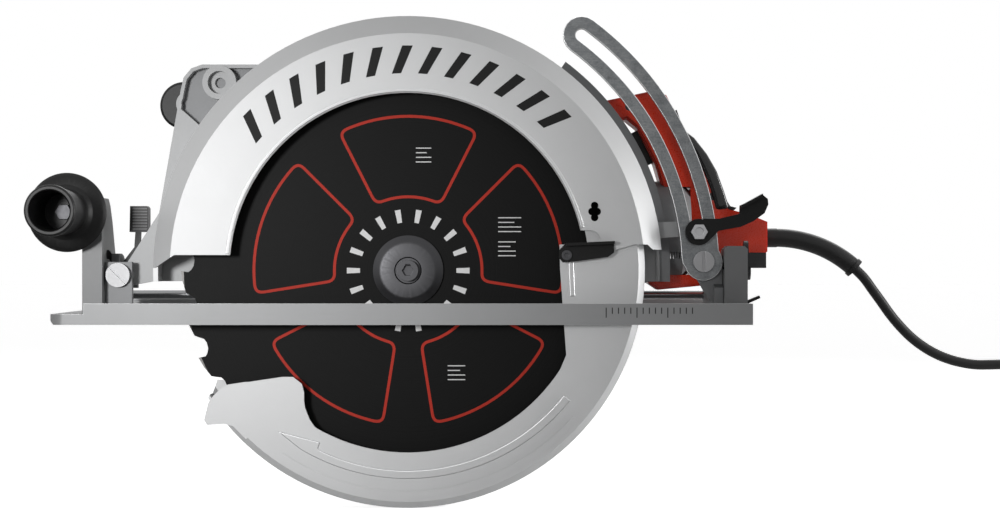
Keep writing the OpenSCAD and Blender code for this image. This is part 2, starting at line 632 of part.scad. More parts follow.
module upper_guard() color([0.78, 0.79, 0.8]) difference() {
    union() {
        difference() {
            turned() upper_profile();
            slab(-upper_half - 1, -12) polygon([
                [-260, -260], [-260, 46], [-229, 51], [-210, 62.5], [-100, 62.5], [-100, 40],
                [150, 40], [150, 67], [187, 67], [205, 72], [217, 72], [222, 67.5], [260, 67.5], [260, -260]
            ]);
            slab(-12.01, 21) polygon([
                [-260, -260], [-260, 38.5], [0, 38.5], [0, 67.5], [260, 67.5], [260, -260]
            ]);
            slab(20.99, guard_back + 1) difference() {
                polygon([[-260, -260], [-260, 38.5], [260, 38.5], [260, -260]]);
                translate([0, arbor_z]) circle(snout_r + 14);
            }
        }
        // Ear with its boss and pockets
        difference() {
            union() {
                slab(ear_y0, ear_y1) ear_outline();
                across(15.5, ear_y0 - 3, ear_y1, ear_hole.x, ear_hole.y);
            }
            across(upper_r - 1, -30, 40);
            slab(ear_y0 - 1, ear_floor_y) difference() {
                offset(delta = -3.2) ear_outline();
                translate(ear_hole) circle(15.5);
                translate([0, arbor_z]) circle(upper_r + 2.5);
                polygon([[-208, 196], [-181, 172], [-230, 60], [-260, 90]]);
            }
            across(10.5, ear_y0 - 4, ear_y0 + 6, ear_hole.x, ear_hole.y);
        }
        // Lug for the top grip
        across(12, ear_y1 - 1, top_grip_y0 - 0.1, top_grip_p.x + 8, top_grip_p.y);
        // Pivot arm and its knuckle
        difference() {
            union() {
                slab(2, 14) pivot_arm_outline();
                across(knuckle_r, knuckle_y0, knuckle_y1, pivot_x, pivot_z);
            }
            across(upper_r - 1, -30, 40);
        }
        // Rib and boss for the bolt of the depth arm
        difference() {
            union() {
                slab(boss_y0, 16) polygon([
                    [220, arm_bolt_z + 9], [arm_bolt_x, arm_bolt_z + 10], [arm_bolt_x, arm_bolt_z - 3],
                    [220, arm_bolt_z - 6]
                ]);
                across(11.5, boss_y0, 20, arm_bolt_x, arm_bolt_z);
            }
            across(upper_r - 1, -30, 40);
        }
    }
    across(ear_hole_r, -30, 60, ear_hole.x, ear_hole.y);
    across(5, 0, 60, top_grip_p.x + 8, top_grip_p.y);
    across(pivot_r + run_gap, -30, 40, pivot_x, pivot_z);
    across(arm_bolt_r + 0.1, -30, 40, arm_bolt_x, arm_bolt_z);
    // Notch in the lip and a key-hole slot
    slab(-upper_half - 1, -12) union() {
        polygon([[140, 60], [140, 84.7], [165.3, 84.7], [165.3, 60]]);
        translate([165.3, 75.7]) circle(9);
        translate([165.3, 60]) square([9, 15.7]);
        for (p = [[169, 107.1], [169, 96.3], [171.4, 101.7], [166.6, 101.7]])
            translate(p) circle(3.4);
    }
}

// Gear case behind the guard, with the snout that the lower guard turns on
case_r = 40;
case_back = 112;
case_flange_x = 46;
bearing_r = 24;
snout_front = 8;
worm_case_r = 24;
retainer_t = 2.5;
retainer_y = lower_half - lower_wall - 1.5 - side_gap;

module gear_case() color([0.6, 0.61, 0.62]) difference() {
    union() {
        across(snout_r, snout_front, guard_back + 1);
        across(case_r, guard_back + 0.05, case_back);
        along(worm_case_r, -52, case_flange_x + 1, drive_y, worm_z);
        slab(drive_y - worm_case_r, drive_y + worm_case_r) polygon([
            [-case_r, arbor_z], [-30, worm_z + 12], [-22, worm_z + worm_case_r],
            [30, worm_z + worm_case_r], [case_flange_x, worm_z + 20], [case_r, arbor_z]
        ]);
        along(motor_r, case_flange_x, motor_front - 0.1, drive_y, worm_z);
        upright_bar(9, worm_z + 10, worm_z + worm_case_r + 4, lock_x, drive_y);
    }
    across(bearing_r, snout_front + 4, guard_back + 4);
    across(spindle_r + 3, snout_front - 1, case_back);
    across(wheel_tip_r + 2, drive_y - wheel_w / 2 - 3, case_back + 1);
    along(worm_tip_r + 2.2, -worm_l / 2 - 4, worm_l / 2 + 4, drive_y, worm_z);
    along(armature_brg_r, -46, motor_front, drive_y, worm_z);
    along(shaft_r + 3, -48, motor_front, drive_y, worm_z);
    upright_bar(lock_r + run_gap, worm_z + 8, worm_z + 40, lock_x, drive_y);
    for (a = [30:60:330])
        translate([0, blade_y + case_back - 12, arbor_z]) rotate([-90, 0, 0]) rotate([0, 0, a])
            translate([case_r - 5, 0, 0]) cylinder(h = 20, r = 1.9);
    upright_bar(plug_r + 0.1, worm_z + worm_case_r - 5, worm_z + worm_case_r + 1, plug_x, drive_y);
}

armature_brg_r = 13;

module gear_case_cover() color([0.6, 0.61, 0.62]) difference() {
    union() {
        across(case_r, case_back + 0.05, case_back + 5);
        across(26, case_back + 0.05, case_back + 12);
    }
    across(16, case_back - 1, case_back + 9);
    for (a = [30:60:330])
        translate([0, blade_y + case_back - 1, arbor_z]) rotate([-90, 0, 0]) rotate([0, 0, a])
            translate([case_r - 5, 0, 0]) cylinder(h = 20, r = 1.9);
}

module gear_case_screws() color("gray") for (a = [30:60:330])
    translate([0, blade_y + case_back - 10, arbor_z]) rotate([-90, 0, 0]) rotate([0, 0, a])
        translate([case_r - 5, 0, 0]) {
            cylinder(h = 15.1, r = 1.8);
            translate([0, 0, 15.05]) difference() {
                cylinder(h = 3, r = 3.4);
                translate([0, 0, 1.2]) cylinder(h = 3, r = 1.6, $fn = 6);
            }
        }

plug_r = 6;
plug_x = 8;

module oil_plug() color("gray") difference() {
    union() {
        upright_bar(plug_r, worm_z + worm_case_r - 4.9, worm_z + worm_case_r + 0.2, plug_x, drive_y);
        upright_bar(plug_r + 2, worm_z + worm_case_r + 0.1, worm_z + worm_case_r + 3, plug_x, drive_y);
    }
    translate([plug_x, blade_y + drive_y, worm_z + worm_case_r + 3]) cube([20, 2, 2.4], center = true);
}

module guard_retainer() color("gray") difference() {
    across(snout_r + 3.5, retainer_y - retainer_t, retainer_y);
    across(snout_r + 0.02, snout_front, retainer_y + 1);
}

module guard_spring() color("gray") difference() {
    across(snout_r + 8, lower_half + 0.6, guard_back - upper_wall - 0.4);
    across(snout_r + 4, lower_half, guard_back);
    block(-2, 2, lower_half, guard_back, arbor_z, arbor_z + 80);
}

// Motor housing: a tube with a curved shroud along the rear of the guard
motor_bore = 44;
cap_r = 47;
cap_rear = 262;
shroud_r = 241;
shroud_y1 = 32;

module motor_housing() color([0.28, 0.29, 0.3]) difference() {
    union() {
        along(motor_r, motor_front, motor_rear, drive_y, worm_z);
        along(motor_r + 0.8, motor_front, motor_front + 8, drive_y, worm_z);
        difference() {
            across(shroud_r, guard_back + 0.1, shroud_y1);
            slab(guard_back - 1, shroud_y1 + 1) polygon([
                [-400, -400], [-400, 400], [116, 400], [40, 140], [60, 110], [60, 38], [400, 38],
                [400, -400]
            ]);
            slab(guard_back - 1, shroud_y1 + 1) polygon([
                [100, 140], [130, 220], [170, 196], [205, 140]
            ]);
            along(cap_r + 0.3, motor_rear - 0.1, 400, drive_y, worm_z);
        }
    }
    along(motor_bore, motor_front - 1, motor_rear - 6, drive_y, worm_z);
    along(armature_brg_r, motor_rear - 7, motor_rear + 1, drive_y, worm_z);
    // Cooling slots low on the housing
    for (i = [0:5])
        block(72 + 9 * i, 76 + 9 * i, drive_y - 60, drive_y + 60, worm_z - 30, worm_z - 22);
    for (s = [-1, 1]) {
        z = worm_z + s * motor_r;
        upright_bar(brush_r + 0.1, z - 9, z + 9, brush_x, drive_y);
    }
}

brush_r = 7;
brush_x = 190;

module brush_caps() color([0.1, 0.1, 0.1]) for (s = [-1, 1]) difference() {
    z = worm_z + s * (motor_r - 2.5);
    upright_bar(brush_r, z - 3.4, z + 3.4, brush_x, drive_y);
    translate([brush_x, blade_y + drive_y, z + s * 3.4]) cube([10, 1.6, 2], center = true);
}

module motor_end_cap() color([0.24, 0.25, 0.26]) difference() {
    union() {
        along(cap_r, motor_rear + 0.05, cap_rear - 8, drive_y, worm_z);
        translate([cap_rear - 8, blade_y + drive_y, worm_z]) rotate([0, 90, 0])
            cylinder(h = 8, r1 = cap_r, r2 = cap_r - 8);
    }
    along(cap_r - 4, motor_rear - 1, cap_rear - 10, drive_y, worm_z);
    // Fine vents on the near and far sides
    for (s = [-1, 1]) for (i = [0:9])
        block(motor_rear + 7 + 2.6 * i, motor_rear + 8.3 + 2.6 * i, drive_y + s * 42 - 12,
              drive_y + s * 42 + 12, worm_z - 26, worm_z - 20);
}

module field_core() color([0.4, 0.3, 0.25]) difference() {
    along(motor_bore - 0.05, 92, 168, drive_y, worm_z);
    along(28, 91, 169, drive_y, worm_z);
    for (s = [-1, 1])
        block(91, 169, drive_y - 12, drive_y + 12, worm_z + s * 34 - 4, worm_z + s * 34 + 4);
}

// Handle: two halves with a D opening, a soft grip, a trigger and the tail for the lead
handle_line = [
    [112, 136], [122, 164], [146, 190], [184, 208], [229, 217.5], [240, 213], [245, 203], [253, 180],
    [266.5, 165], [279, 145], [287, 130], [290.5, 118], [298, 106], [318, 101], [335, 94],
    [335, 66], [322, 58], [306, 40], [290, 35.5], [232, 30], [223, 36], [223, 136]
];
opening_line = [
    [142, 136], [152, 166], [176, 183], [202, 190], [212, 182], [229, 148], [236, 124], [230, 112],
    [223, 112], [223, 136]
];
handle_steps = 4;
relief_p = [335.5, 79.1];
relief_r = 9;
tail_r = 12;

module handle_2d(inset) offset(delta = -inset) difference() {
    polygon(handle_line);
    polygon(opening_line);
}

module handle_half(side) difference() {
    union() {
        for (i = [0:handle_steps - 1]) {
            t = i / handle_steps;
            inset = handle_round * (1 - sqrt(1 - t * t)) * 0.8;
            depth = handle_w / 2 - handle_round + handle_round * (i + 1) / handle_steps;
            slab(side < 0 ? drive_y - depth : drive_y + 0.05, side < 0 ? drive_y - 0.05 : drive_y + depth)
                handle_2d(inset);
        }
        intersection() {
            along(tail_r, relief_p.x - 16, relief_p.x, drive_y, relief_p.y);
            block(300, 400, side < 0 ? -50 : drive_y + 0.05, side < 0 ? drive_y - 0.05 : 200, 0, 200);
        }
    }
    along(cap_r + 0.25, 150, cap_rear + 0.25, drive_y, worm_z);
    along(motor_r + 0.25, 60, motor_rear + 0.25, drive_y, worm_z);
    along(relief_r - 2 + 0.1, relief_p.x - 18, relief_p.x + 1, drive_y, relief_p.y);
    slab(drive_y - trigger_w / 2 - 0.4, drive_y + trigger_w / 2 + 0.4) trigger_pocket();
    slab(drive_y - 11, drive_y + 11) switch_outline();
    for (p = handle_screw_p) {
        across(2.1, drive_y - handle_w, drive_y + handle_w, p.x, p.y);
        across(4.2, drive_y - handle_w, drive_y - handle_w / 2 + 5, p.x, p.y);
    }
}

handle_screw_p = [[132, 160], [205, 202], [284, 118], [300, 64], [236, 205]];

module handle_left() color([0.75, 0.16, 0.08]) handle_half(-1);
module handle_right() color([0.75, 0.16, 0.08]) handle_half(1);

module handle_screws() color("gray") for (p = handle_screw_p) {
    across(2, drive_y - handle_w / 2 + 3, drive_y + handle_w / 2 - 3, p.x, p.y);
    difference() {
        across(4, drive_y - handle_w / 2 + 2, drive_y - handle_w / 2 + 4.9, p.x, p.y);
        across(1.8, drive_y - handle_w / 2 + 1, drive_y - handle_w / 2 + 3.5, p.x, p.y, $fn = 6);
    }
}

grip_skin = 3;

module grip_overmould() color([0.07, 0.07, 0.07]) slab(drive_y - 19, drive_y + 19) difference() {
    intersection() {
        offset(delta = grip_skin) polygon(handle_line);
        polygon([[249, 199], [262, 199], [320, 120], [303, 104.5], [290, 110], [240, 190]]);
    }
    offset(delta = 0.05) polygon(handle_line);
}

// Trigger, sliding square to the grip
trigger_p = [220.5, 165];
trigger_a = 25;
trigger_w = 16;
trigger_l = 34;
trigger_out = 11;
trigger_in = 14;
trigger_travel = 6;

module trigger_frame() translate(trigger_p) rotate(trigger_a) children();

module trigger_pocket() trigger_frame()
    translate([-trigger_out - 6, -trigger_l / 2 - 0.4])
        square([trigger_out + 6 + trigger_in + trigger_travel + 0.5, trigger_l + 0.8]);

module trigger() color([0.1, 0.1, 0.1]) slab(drive_y - trigger_w / 2, drive_y + trigger_w / 2)
    trigger_frame() difference() {
        translate([-trigger_out, -trigger_l / 2]) square([trigger_out + trigger_in, trigger_l]);
        translate([-trigger_out - 15, 0]) circle(20);
    }

module switch_outline() trigger_frame()
    translate([trigger_in + trigger_travel + 1, -13]) square([9, 26]);

module switch_body() color([0.15, 0.15, 0.15]) slab(drive_y - 10.8, drive_y + 10.8)
    trigger_frame() translate([trigger_in + trigger_travel + 1.2, -12.8]) square([8.6, 25.6]);

// Top grip behind the ear, with a bolt through the lug
top_grip_p = [-211, 202];
top_grip_y0 = 40;
top_grip_l = 96;

module top_grip() color([0.09, 0.09, 0.09])
    translate([top_grip_p.x, blade_y + top_grip_y0, top_grip_p.y]) rotate([-90, 0, 0]) difference() {
        rotate_extrude() polygon([
            [0, 0], [20, 0], [22, 2], [22, 5], [20, 8], [17.5, 11], [17.5, 30], [19, 50],
            [18, top_grip_l - 12], [20.5, top_grip_l - 7], [20, top_grip_l - 2],
            [16, top_grip_l], [0, top_grip_l]
        ]);
        translate([8, 0, -1]) cylinder(h = 31, r = 5.1);
    }

module top_grip_bolt() color("gray") difference() {
    union() {
        across(4.9, 18, top_grip_y0 + 28, top_grip_p.x + 8, top_grip_p.y);
    }
    translate([top_grip_p.x + 8, blade_y + 17, top_grip_p.y]) rotate([-90, 0, 0])
        cylinder(h = 6, r = 2.6, $fn = 6);
}

module ring_bearing(r_in, r_out, y0, y1) difference() {
    across(r_out, y0, y1);
    across(r_in, y0 - 1, y1 + 1);
}

module spindle_bearings() color("lightgray") {
    ring_bearing(spindle_r + run_gap, bearing_r - 0.03, snout_front + 4.1, guard_back - 0.5);
    ring_bearing(11 + run_gap, 15.97, case_back + 0.1, case_back + 8.9);
}

module axial_bearing(x0, x1) difference() {
    along(armature_brg_r - 0.03, x0, x1, drive_y, worm_z);
    along(shaft_r + run_gap, x0 - 1, x1 + 1, drive_y, worm_z);
}

module armature_bearings() color("lightgray") {
    axial_bearing(-45.9, -36);
    axial_bearing(38, 50);
    axial_bearing(motor_rear - 6.9, motor_rear);
}

// Clamp bolt of the slotted arm and its lever
hub_t = 7;
lever_y1 = arm_y0 - side_gap;

module depth_bolt() color("lightgray") {
    across(arm_bolt_r, lever_y1 - hub_t - 2, 24, arm_bolt_x, arm_bolt_z);
    translate([arm_bolt_x, blade_y + lever_y1 - hub_t - 0.3, arm_bolt_z]) rotate([90, 0, 0]) difference() {
        cylinder(h = 6, r = 7.6, $fn = 6);
        translate([0, 0, 4]) cylinder(h = 3, r = 4);
    }
    across(7.5, 20.1, 24, arm_bolt_x, arm_bolt_z);
}

module depth_lever() color([0.1, 0.1, 0.1]) difference() {
    union() {
        across(12, lever_y1 - hub_t, lever_y1, arm_bolt_x, arm_bolt_z);
        slab(lever_y1 - hub_t, lever_y1 - 1.5) polygon([
            [arm_bolt_x + 4, arm_bolt_z + 12], [arm_bolt_x + 18, arm_bolt_z + 12],
            [arm_bolt_x + 37, arm_bolt_z + 16.5], [arm_bolt_x + 37.3, arm_bolt_z + 24],
            [arm_bolt_x + 41.5, arm_bolt_z + 26], [arm_bolt_x + 57, arm_bolt_z + 34.5],
            [arm_bolt_x + 62.5, arm_bolt_z + 30], [arm_bolt_x + 63, arm_bolt_z + 25],
            [arm_bolt_x + 59.5, arm_bolt_z + 17], [arm_bolt_x + 49.5, arm_bolt_z + 9.7],
            [arm_bolt_x + 37.7, arm_bolt_z + 4.5], [arm_bolt_x + 18, arm_bolt_z + 1],
            [arm_bolt_x + 9, arm_bolt_z - 8]
        ]);
        slab(lever_y1 - 17, lever_y1 - hub_t + 0.5) polygon([
            [arm_bolt_x + 37.3, arm_bolt_z + 21], [arm_bolt_x + 41.5, arm_bolt_z + 23],
            [arm_bolt_x + 57, arm_bolt_z + 31.5], [arm_bolt_x + 57, arm_bolt_z + 34.5],
            [arm_bolt_x + 41.5, arm_bolt_z + 26], [arm_bolt_x + 37.3, arm_bolt_z + 24]
        ]);
    }
    across(arm_bolt_r + run_gap, lever_y1 - 30, lever_y1 + 1, arm_bolt_x, arm_bolt_z);
}

// Spindle lock button on the gear case
lock_x = -36;
lock_r = 6;
lock_travel = 3;

module spindle_lock() color([0.1, 0.1, 0.1]) {
    upright_bar(lock_r, worm_z + worm_tip_r + lock_travel + 1.5, worm_z + worm_case_r + 8, lock_x, drive_y);
    upright_bar(lock_r + 2, worm_z + worm_case_r + 4 + lock_travel + 0.3, worm_z + worm_case_r + 10.5,
                lock_x, drive_y);
}

// Lower guard: a swinging shell with a beak, turning on the snout
hub_r = snout_r + 14;

module lower_profile() polygon([
    [lower_ring_r - 40, lower_half], [lower_r - 6, lower_half], [lower_r, lower_half - 5],
    [lower_r, 5 - lower_half], [lower_r - 6, -lower_half], [snout_r + 0.08, -lower_half],
    [snout_r + 0.08, -lower_half + lower_wall + 1.5], [hub_r, -lower_half + lower_wall + 1.5],
    [hub_r, -lower_half + lower_wall], [lower_r - 6 - lower_wall / 2, -lower_half + lower_wall],
    [lower_r - lower_wall, 5 - lower_half + lower_wall / 2],
    [lower_r - lower_wall, lower_half - 5 - lower_wall / 2],
    [lower_r - 6 - lower_wall / 2, lower_half - lower_wall],
    [lower_ring_r - 40, lower_half - lower_wall]
]);

// Outline of the front ring's inner edge and of the beak, in X and Z
front_open = [
    [0, 400], [-400, 400], [-400, -52], [-144, -52.3], [-113, -47.7], [-103.4, -47.7], [-95.5, -54],
    [-93.5, -62], [-93.5, -74], [-88, -88.4]
];
beak_outer = [
    [-113.3, -47.7], [-144.1, -52.3], [-162.2, -55], [-173.9, -63.1], [-179.8, -70.3],
    [-183.9, -86.6], [-181.1, -91.1], [-165.8, -90.2], [-157.6, -92.1], [-146, -104], [-120, -90]
];
lever_p = [143.8, 62.3];

module lower_guard() color([0.8, 0.81, 0.82]) difference() {
    union() {
        difference() {
            turned() lower_profile();
            // Open in front of the blade
            slab(-lower_half - 1, 0) difference() {
                translate([0, arbor_z]) circle(lower_ring_r);
                polygon([
                    [137.5, 72], [138, 50], [143.6, -28], [130, -60], [400, -60], [400, 72]
                ]);
            }
            slab(-lower_half - 1, lower_half + 1) polygon(concat(front_open, [[-60, -60], [0, 20]]));
            slab(-lower_half - 1, lower_half + 1) polygon([
                [-1, 400], [-1, 120], [60, 108], [120, 96], [190, 88.5], [400, 88.5], [400, 400]
            ]);
        }
        // Hub plate
        slab(lower_half - lower_wall - 1.5, lower_half) translate([0, arbor_z]) circle(hub_r);
        // Beak
        slab(-lower_half, lower_half) intersection() {
            polygon(beak_outer);
            difference() {
                polygon([[-300, -300], [-300, 0], [0, 0], [0, -300]]);
                translate([0, arbor_z]) circle(lower_r - 0.5);
            }
        }
        for (y = [-lower_half, lower_half - lower_wall])
            slab(y, y + lower_wall) polygon(concat(beak_outer, [[-93.5, -74], [-93.5, -62], [-95.5, -54], [-103.4, -47.7]]));
        // Boss for the lift lever and the stiffening ribs
        across(6, -lower_half - 7, -lower_half + 1, lever_p.x, lever_p.y);
        slab(-lower_half - 0.6, -lower_half + 0.5) polygon([
            [144.5, 56], [150.5, 56], [151.5, 24], [146.5, 24]
        ]);
        arc_bar([0, arbor_z], 202.5, 3, 236, 318, -lower_half - 1.2, -lower_half + 0.5);
    }
    across(snout_r + 0.08, -40, 40);
    across(2.6, -60, -lower_half + 3, lever_p.x, lever_p.y);
}

lift_y = -lower_half - 7.3;

module lift_lever() color([0.08, 0.08, 0.08]) difference() {
    union() {
        slab(lift_y - 2.5, lift_y) polygon([
            [137, 67], [143, 73.2], [186.5, 75], [186.3, 64.7], [180.8, 60.7], [148.3, 56.2],
            [140.2, 55.7], [136.8, 60]
        ]);
        slab(lift_y - 12, lift_y - 2) polygon([
            [143, 70.6], [143, 73.2], [186.5, 75], [186.5, 72.4]
        ]);
    }
    across(2.7, lift_y - 20, lift_y + 1, lever_p.x, lever_p.y);
}

module lift_lever_screw() color("gray") difference() {
    union() {
        across(2.5, lift_y - 3, -lower_half + 2, lever_p.x, lever_p.y);
        across(4.6, lift_y - 5.2, lift_y - 2.55, lever_p.x, lever_p.y);
    }
    translate([lever_p.x, blade_y + lift_y - 4, lever_p.y]) rotate([90, 0, 0])
        cylinder(h = 3, r = 2.2, $fn = 6);
}

// Blade, clamped between two flanges on the spindle
tooth_a = 360 / tooth_count;
first_tip_a = 202.6;
tooth_back = 5.6;

function tooth_points(a) = [
    on_circle(blade_r, a), on_circle(blade_r - 1.2, a + 0.25 * tooth_a),
    on_circle(blade_r - 3.4, a + tooth_back), on_circle(blade_r - 6.5, a + tooth_back + 0.7),
    on_circle(blade_r - gullet_depth + 1.2, a + tooth_back + 1.6),
    on_circle(blade_r - gullet_depth, a + 0.74 * tooth_a),
    on_circle(blade_r - gullet_depth + 0.6, a + 0.88 * tooth_a),
    on_circle(blade_r - gullet_depth + 3, a + 0.98 * tooth_a),
    on_circle(blade_r - 6.5, a + 1.03 * tooth_a)
];

module blade_outline() polygon([
    for (i = [0:tooth_count - 1]) each tooth_points(first_tip_a + i * tooth_a)
]);

module blade() color([0.12, 0.12, 0.12]) difference() {
    union() {
        slab(-blade_t / 2, blade_t / 2) translate([0, arbor_z]) blade_outline();
        // Carbide tips
        slab(-kerf_w / 2, kerf_w / 2) translate([0, arbor_z])
            for (i = [0:tooth_count - 1]) rotate(first_tip_a + i * tooth_a) polygon([
                [blade_r, 0], on_circle(blade_r - 0.5, 0.8), on_circle(blade_r - 6, 1.2),
                on_circle(blade_r - 6, 0.35)
            ]);
    }
    across(arbor_r + 0.03, -10, 10);
}

module inner_flange() color("lightgray") difference() {
    union() {
        across(washer_r, blade_t / 2, blade_t / 2 + 3);
        across(washer_r - 8, blade_t / 2, blade_t / 2 + flange_t);
    }
    across(arbor_r + 0.03, 0, blade_t / 2 + flange_t + 1);
}

module outer_flange() color([0.12, 0.12, 0.12]) difference() {
    translate([0, blade_y - blade_t / 2, arbor_z]) rotate([90, 0, 0]) rotate_extrude() polygon([
        [5.1, 0.6], [washer_r - 8, 0.6], [washer_r - 6, 0], [washer_r, 0], [washer_r, 3],
        [washer_r - 8, 6.5], [12.5, 6.5], [11.5, 4.5], [5.1, 4.5]
    ]);
    across(arbor_r + 0.05, -blade_t / 2 - 2.2, 0);
}

module blade_bolt() color([0.14, 0.14, 0.14]) difference() {
    union() {
        across(5, -blade_t / 2 - 5, 14);
        across(9.6, -blade_t / 2 - 11, -blade_t / 2 - 4.6);
    }
    translate([0, blade_y - blade_t / 2 - 12, arbor_z]) rotate([-90, 0, 0]) cylinder(h = 5, r = 5.2, $fn = 6);
}

module spindle() color("lightgray") difference() {
    union() {
        across(arbor_r, -blade_t / 2 - 2, blade_t / 2 + flange_t + 1);
        across(spindle_r, blade_t / 2 + flange_t + 0.02, drive_y - wheel_w / 2 - 1);
        across(12, drive_y - wheel_w / 2 - 2, drive_y + wheel_w / 2 + 3);
        across(11, drive_y + wheel_w / 2 + 2, case_back + 8);
    }
    across(5.06, -blade_t / 2 - 3, 15);
}

// Worm gearing: helical teeth on the wheel, a threaded worm on the armature shaft
wheel_pitch_a = 360 / wheel_teeth;
worm_lead_a = atan(worm_starts * gear_module / (2 * worm_r));
tooth_half_a = 0.185 * wheel_pitch_a;

module worm_wheel() color([0.72, 0.55, 0.25]) difference() {
    twist = -wheel_w * tan(worm_lead_a) / wheel_r * 180 / PI;
    translate([0, blade_y + drive_y + wheel_w / 2, arbor_z]) rotate([90, 0, 0])
        rotate([0, 0, 90 + twist / 2])
        linear_extrude(wheel_w, twist = twist, slices = 6, $fn = 12) polygon([
            for (i = [0:wheel_teeth - 1], p = [
                [wheel_root_r, -0.34], [wheel_r, -0.19], [wheel_tip_r, -0.1], [wheel_tip_r, 0.1],
                [wheel_r, 0.19], [wheel_root_r, 0.34]
            ]) on_circle(p.x, (i + p.y) * wheel_pitch_a)
        ]);
    across(12.03, drive_y - 20, drive_y + 20);
}

module armature_shaft() color("lightgray") {
    along(shaft_r, -46 + 1, motor_rear + 3, drive_y, worm_z);
    translate([-worm_l / 2, blade_y + drive_y, worm_z]) rotate([0, 90, 0])
        rotate([0, 0, -180 * worm_l / lead])
            linear_extrude(worm_l, twist = -360 * worm_l / lead, slices = 60, $fn = 12)
                polygon([for (i = [0:worm_starts - 1], p = [
                    [worm_root_r, 0], [worm_root_r, 0.22], [worm_r, 0.36], [worm_tip_r, 0.43],
                    [worm_tip_r, 0.57], [worm_r, 0.64], [worm_root_r, 0.78]
                ]) on_circle(p.x, (i + p.y) * 360 / worm_starts)]);
}

module armature_core() color([0.45, 0.45, 0.47]) difference() {
    along(26.5, 95, 165, drive_y, worm_z);
    along(shaft_r + 0.02, 94, 166, drive_y, worm_z);
    for (i = [0:11])
        translate([94, blade_y + drive_y, worm_z]) rotate([0, 90, 0]) rotate([0, 0, 30 * i])
            translate([16, -1.5, 0]) cube([12, 3, 72]);
}

module commutator() color([0.72, 0.45, 0.25]) difference() {
    along(16, 178, 202, drive_y, worm_z);
    along(shaft_r + 0.02, 177, 203, drive_y, worm_z);
    for (i = [0:11])
        translate([177, blade_y + drive_y, worm_z]) rotate([0, 90, 0]) rotate([0, 0, 30 * i])
            translate([13.5, -0.4, 0]) cube([4, 0.8, 26]);
}

module cooling_fan() color([0.15, 0.15, 0.15]) difference() {
    union() {
        along(40, 62, 64, drive_y, worm_z);
        along(12, 62, 80, drive_y, worm_z);
        for (i = [0:8])
            translate([63.9, blade_y + drive_y, worm_z]) rotate([0, 90, 0]) rotate([0, 0, 40 * i])
                translate([11, -1, 0]) cube([27, 2, 14]);
    }
    along(shaft_r + 0.02, 61, 81, drive_y, worm_z);
}

// Mains lead: strain relief, free stretch, coil with its tie, and plug
relief_bend_x = 345;
relief_bend_r = 110;
relief_bend_a = (relief_l - (relief_bend_x - relief_p.x)) / relief_bend_r * 180 / PI;
relief_end = [relief_bend_x + relief_bend_r * sin(relief_bend_a), blade_y + drive_y,
              relief_p.y - relief_bend_r * (1 - cos(relief_bend_a))];
cord_r = cord_d / 2;
floor_z = arbor_z - lower_r;
tie_t = 1.5;

module strain_relief() color([0.08, 0.08, 0.08]) {
    along(relief_r - 2, relief_p.x - 17.9, relief_p.x + 0.5, drive_y, relief_p.y);
    along(relief_r, relief_p.x + 0.1, relief_bend_x + 0.5, drive_y, relief_p.y);
    translate([relief_bend_x, blade_y + drive_y, relief_p.y - relief_bend_r]) rotate([90, 0, 0])
        rotate([0, 0, 90 - relief_bend_a]) rotate_extrude(angle = relief_bend_a)
            translate([relief_bend_r, 0]) circle(relief_r - 0.4);
    translate(relief_end) rotate([0, 90 + relief_bend_a, 0]) {
        translate([0, 0, -4]) cylinder(h = 3.9, r = relief_r + 0.6);
    }
}

cord_y = -6;
coil_x = 724;
coil_y = 54;
coil_pitch = 10.4;
coil_turns = 8.5;
coil_outer = 60;
coil_z = -160;
loop_rings = 24;
plug_lift = 17.4;

// Route of the free stretch, from the strain relief down to the floor
route = [
    [428.5, -6, 41], [436.5, -6, 30], [444.5, -6, 19], [453, -6, 7], [463, -6, -5], [473, -6, -15],
    [484, -6, -23.5], [495, -6, -30], [508, -6, -35.5], [521, -6, -39], [535, -6, -41], [548, -6, -41],
    [562, -6, -41], [577, -6, -44], [591, -6, -51], [604, -6, -62], [616, -6, -76], [627, -6, -92],
    [638, -6, -109], [649, -6, -125], [661, -6, -139], [675, -6, -150], [690, -6, -157], [704, -6, -160]
];

function unit(v) = v / norm(v);
function tangent(p, i) = unit(p[min(i + 1, len(p) - 1)] - p[max(i - 1, 0)]);
function ring_points(p, t, up, r, sides) =
    let (s = unit(cross(up, t)), u = cross(t, s))
    [for (j = [0:sides - 1]) p + r * (cos(360 * j / sides) * s + sin(360 * j / sides) * u)];

// One closed tube along a list of points
module tube(p, r, sides, up) {
    n = len(p);
    rings = [for (i = [0:n - 1]) each ring_points(p[i], tangent(p, i), up, r, sides)];
    last = (n - 1) * sides;
    polyhedron(rings, concat(
        [for (j = [1:sides - 2]) [0, j + 1, j]],
        [for (j = [1:sides - 2]) [last, last + j, last + j + 1]],
        [for (i = [0:n - 2], j = [0:sides - 1], h = [0, 1])
            let (a = i * sides + j, b = i * sides + (j + 1) % sides)
            h == 0 ? [a, b, b + sides] : [a, b + sides, a + sides]]
    ), convexity = 6);
}

free_path = concat([relief_end, relief_end + [3 * cos(relief_bend_a), 0, -3 * sin(relief_bend_a)]],
                   route, [[coil_x - 10, cord_y, coil_z]]);

module cord() color([0.06, 0.06, 0.06]) tube(free_path, cord_r, 10, [0, 1, 0]);

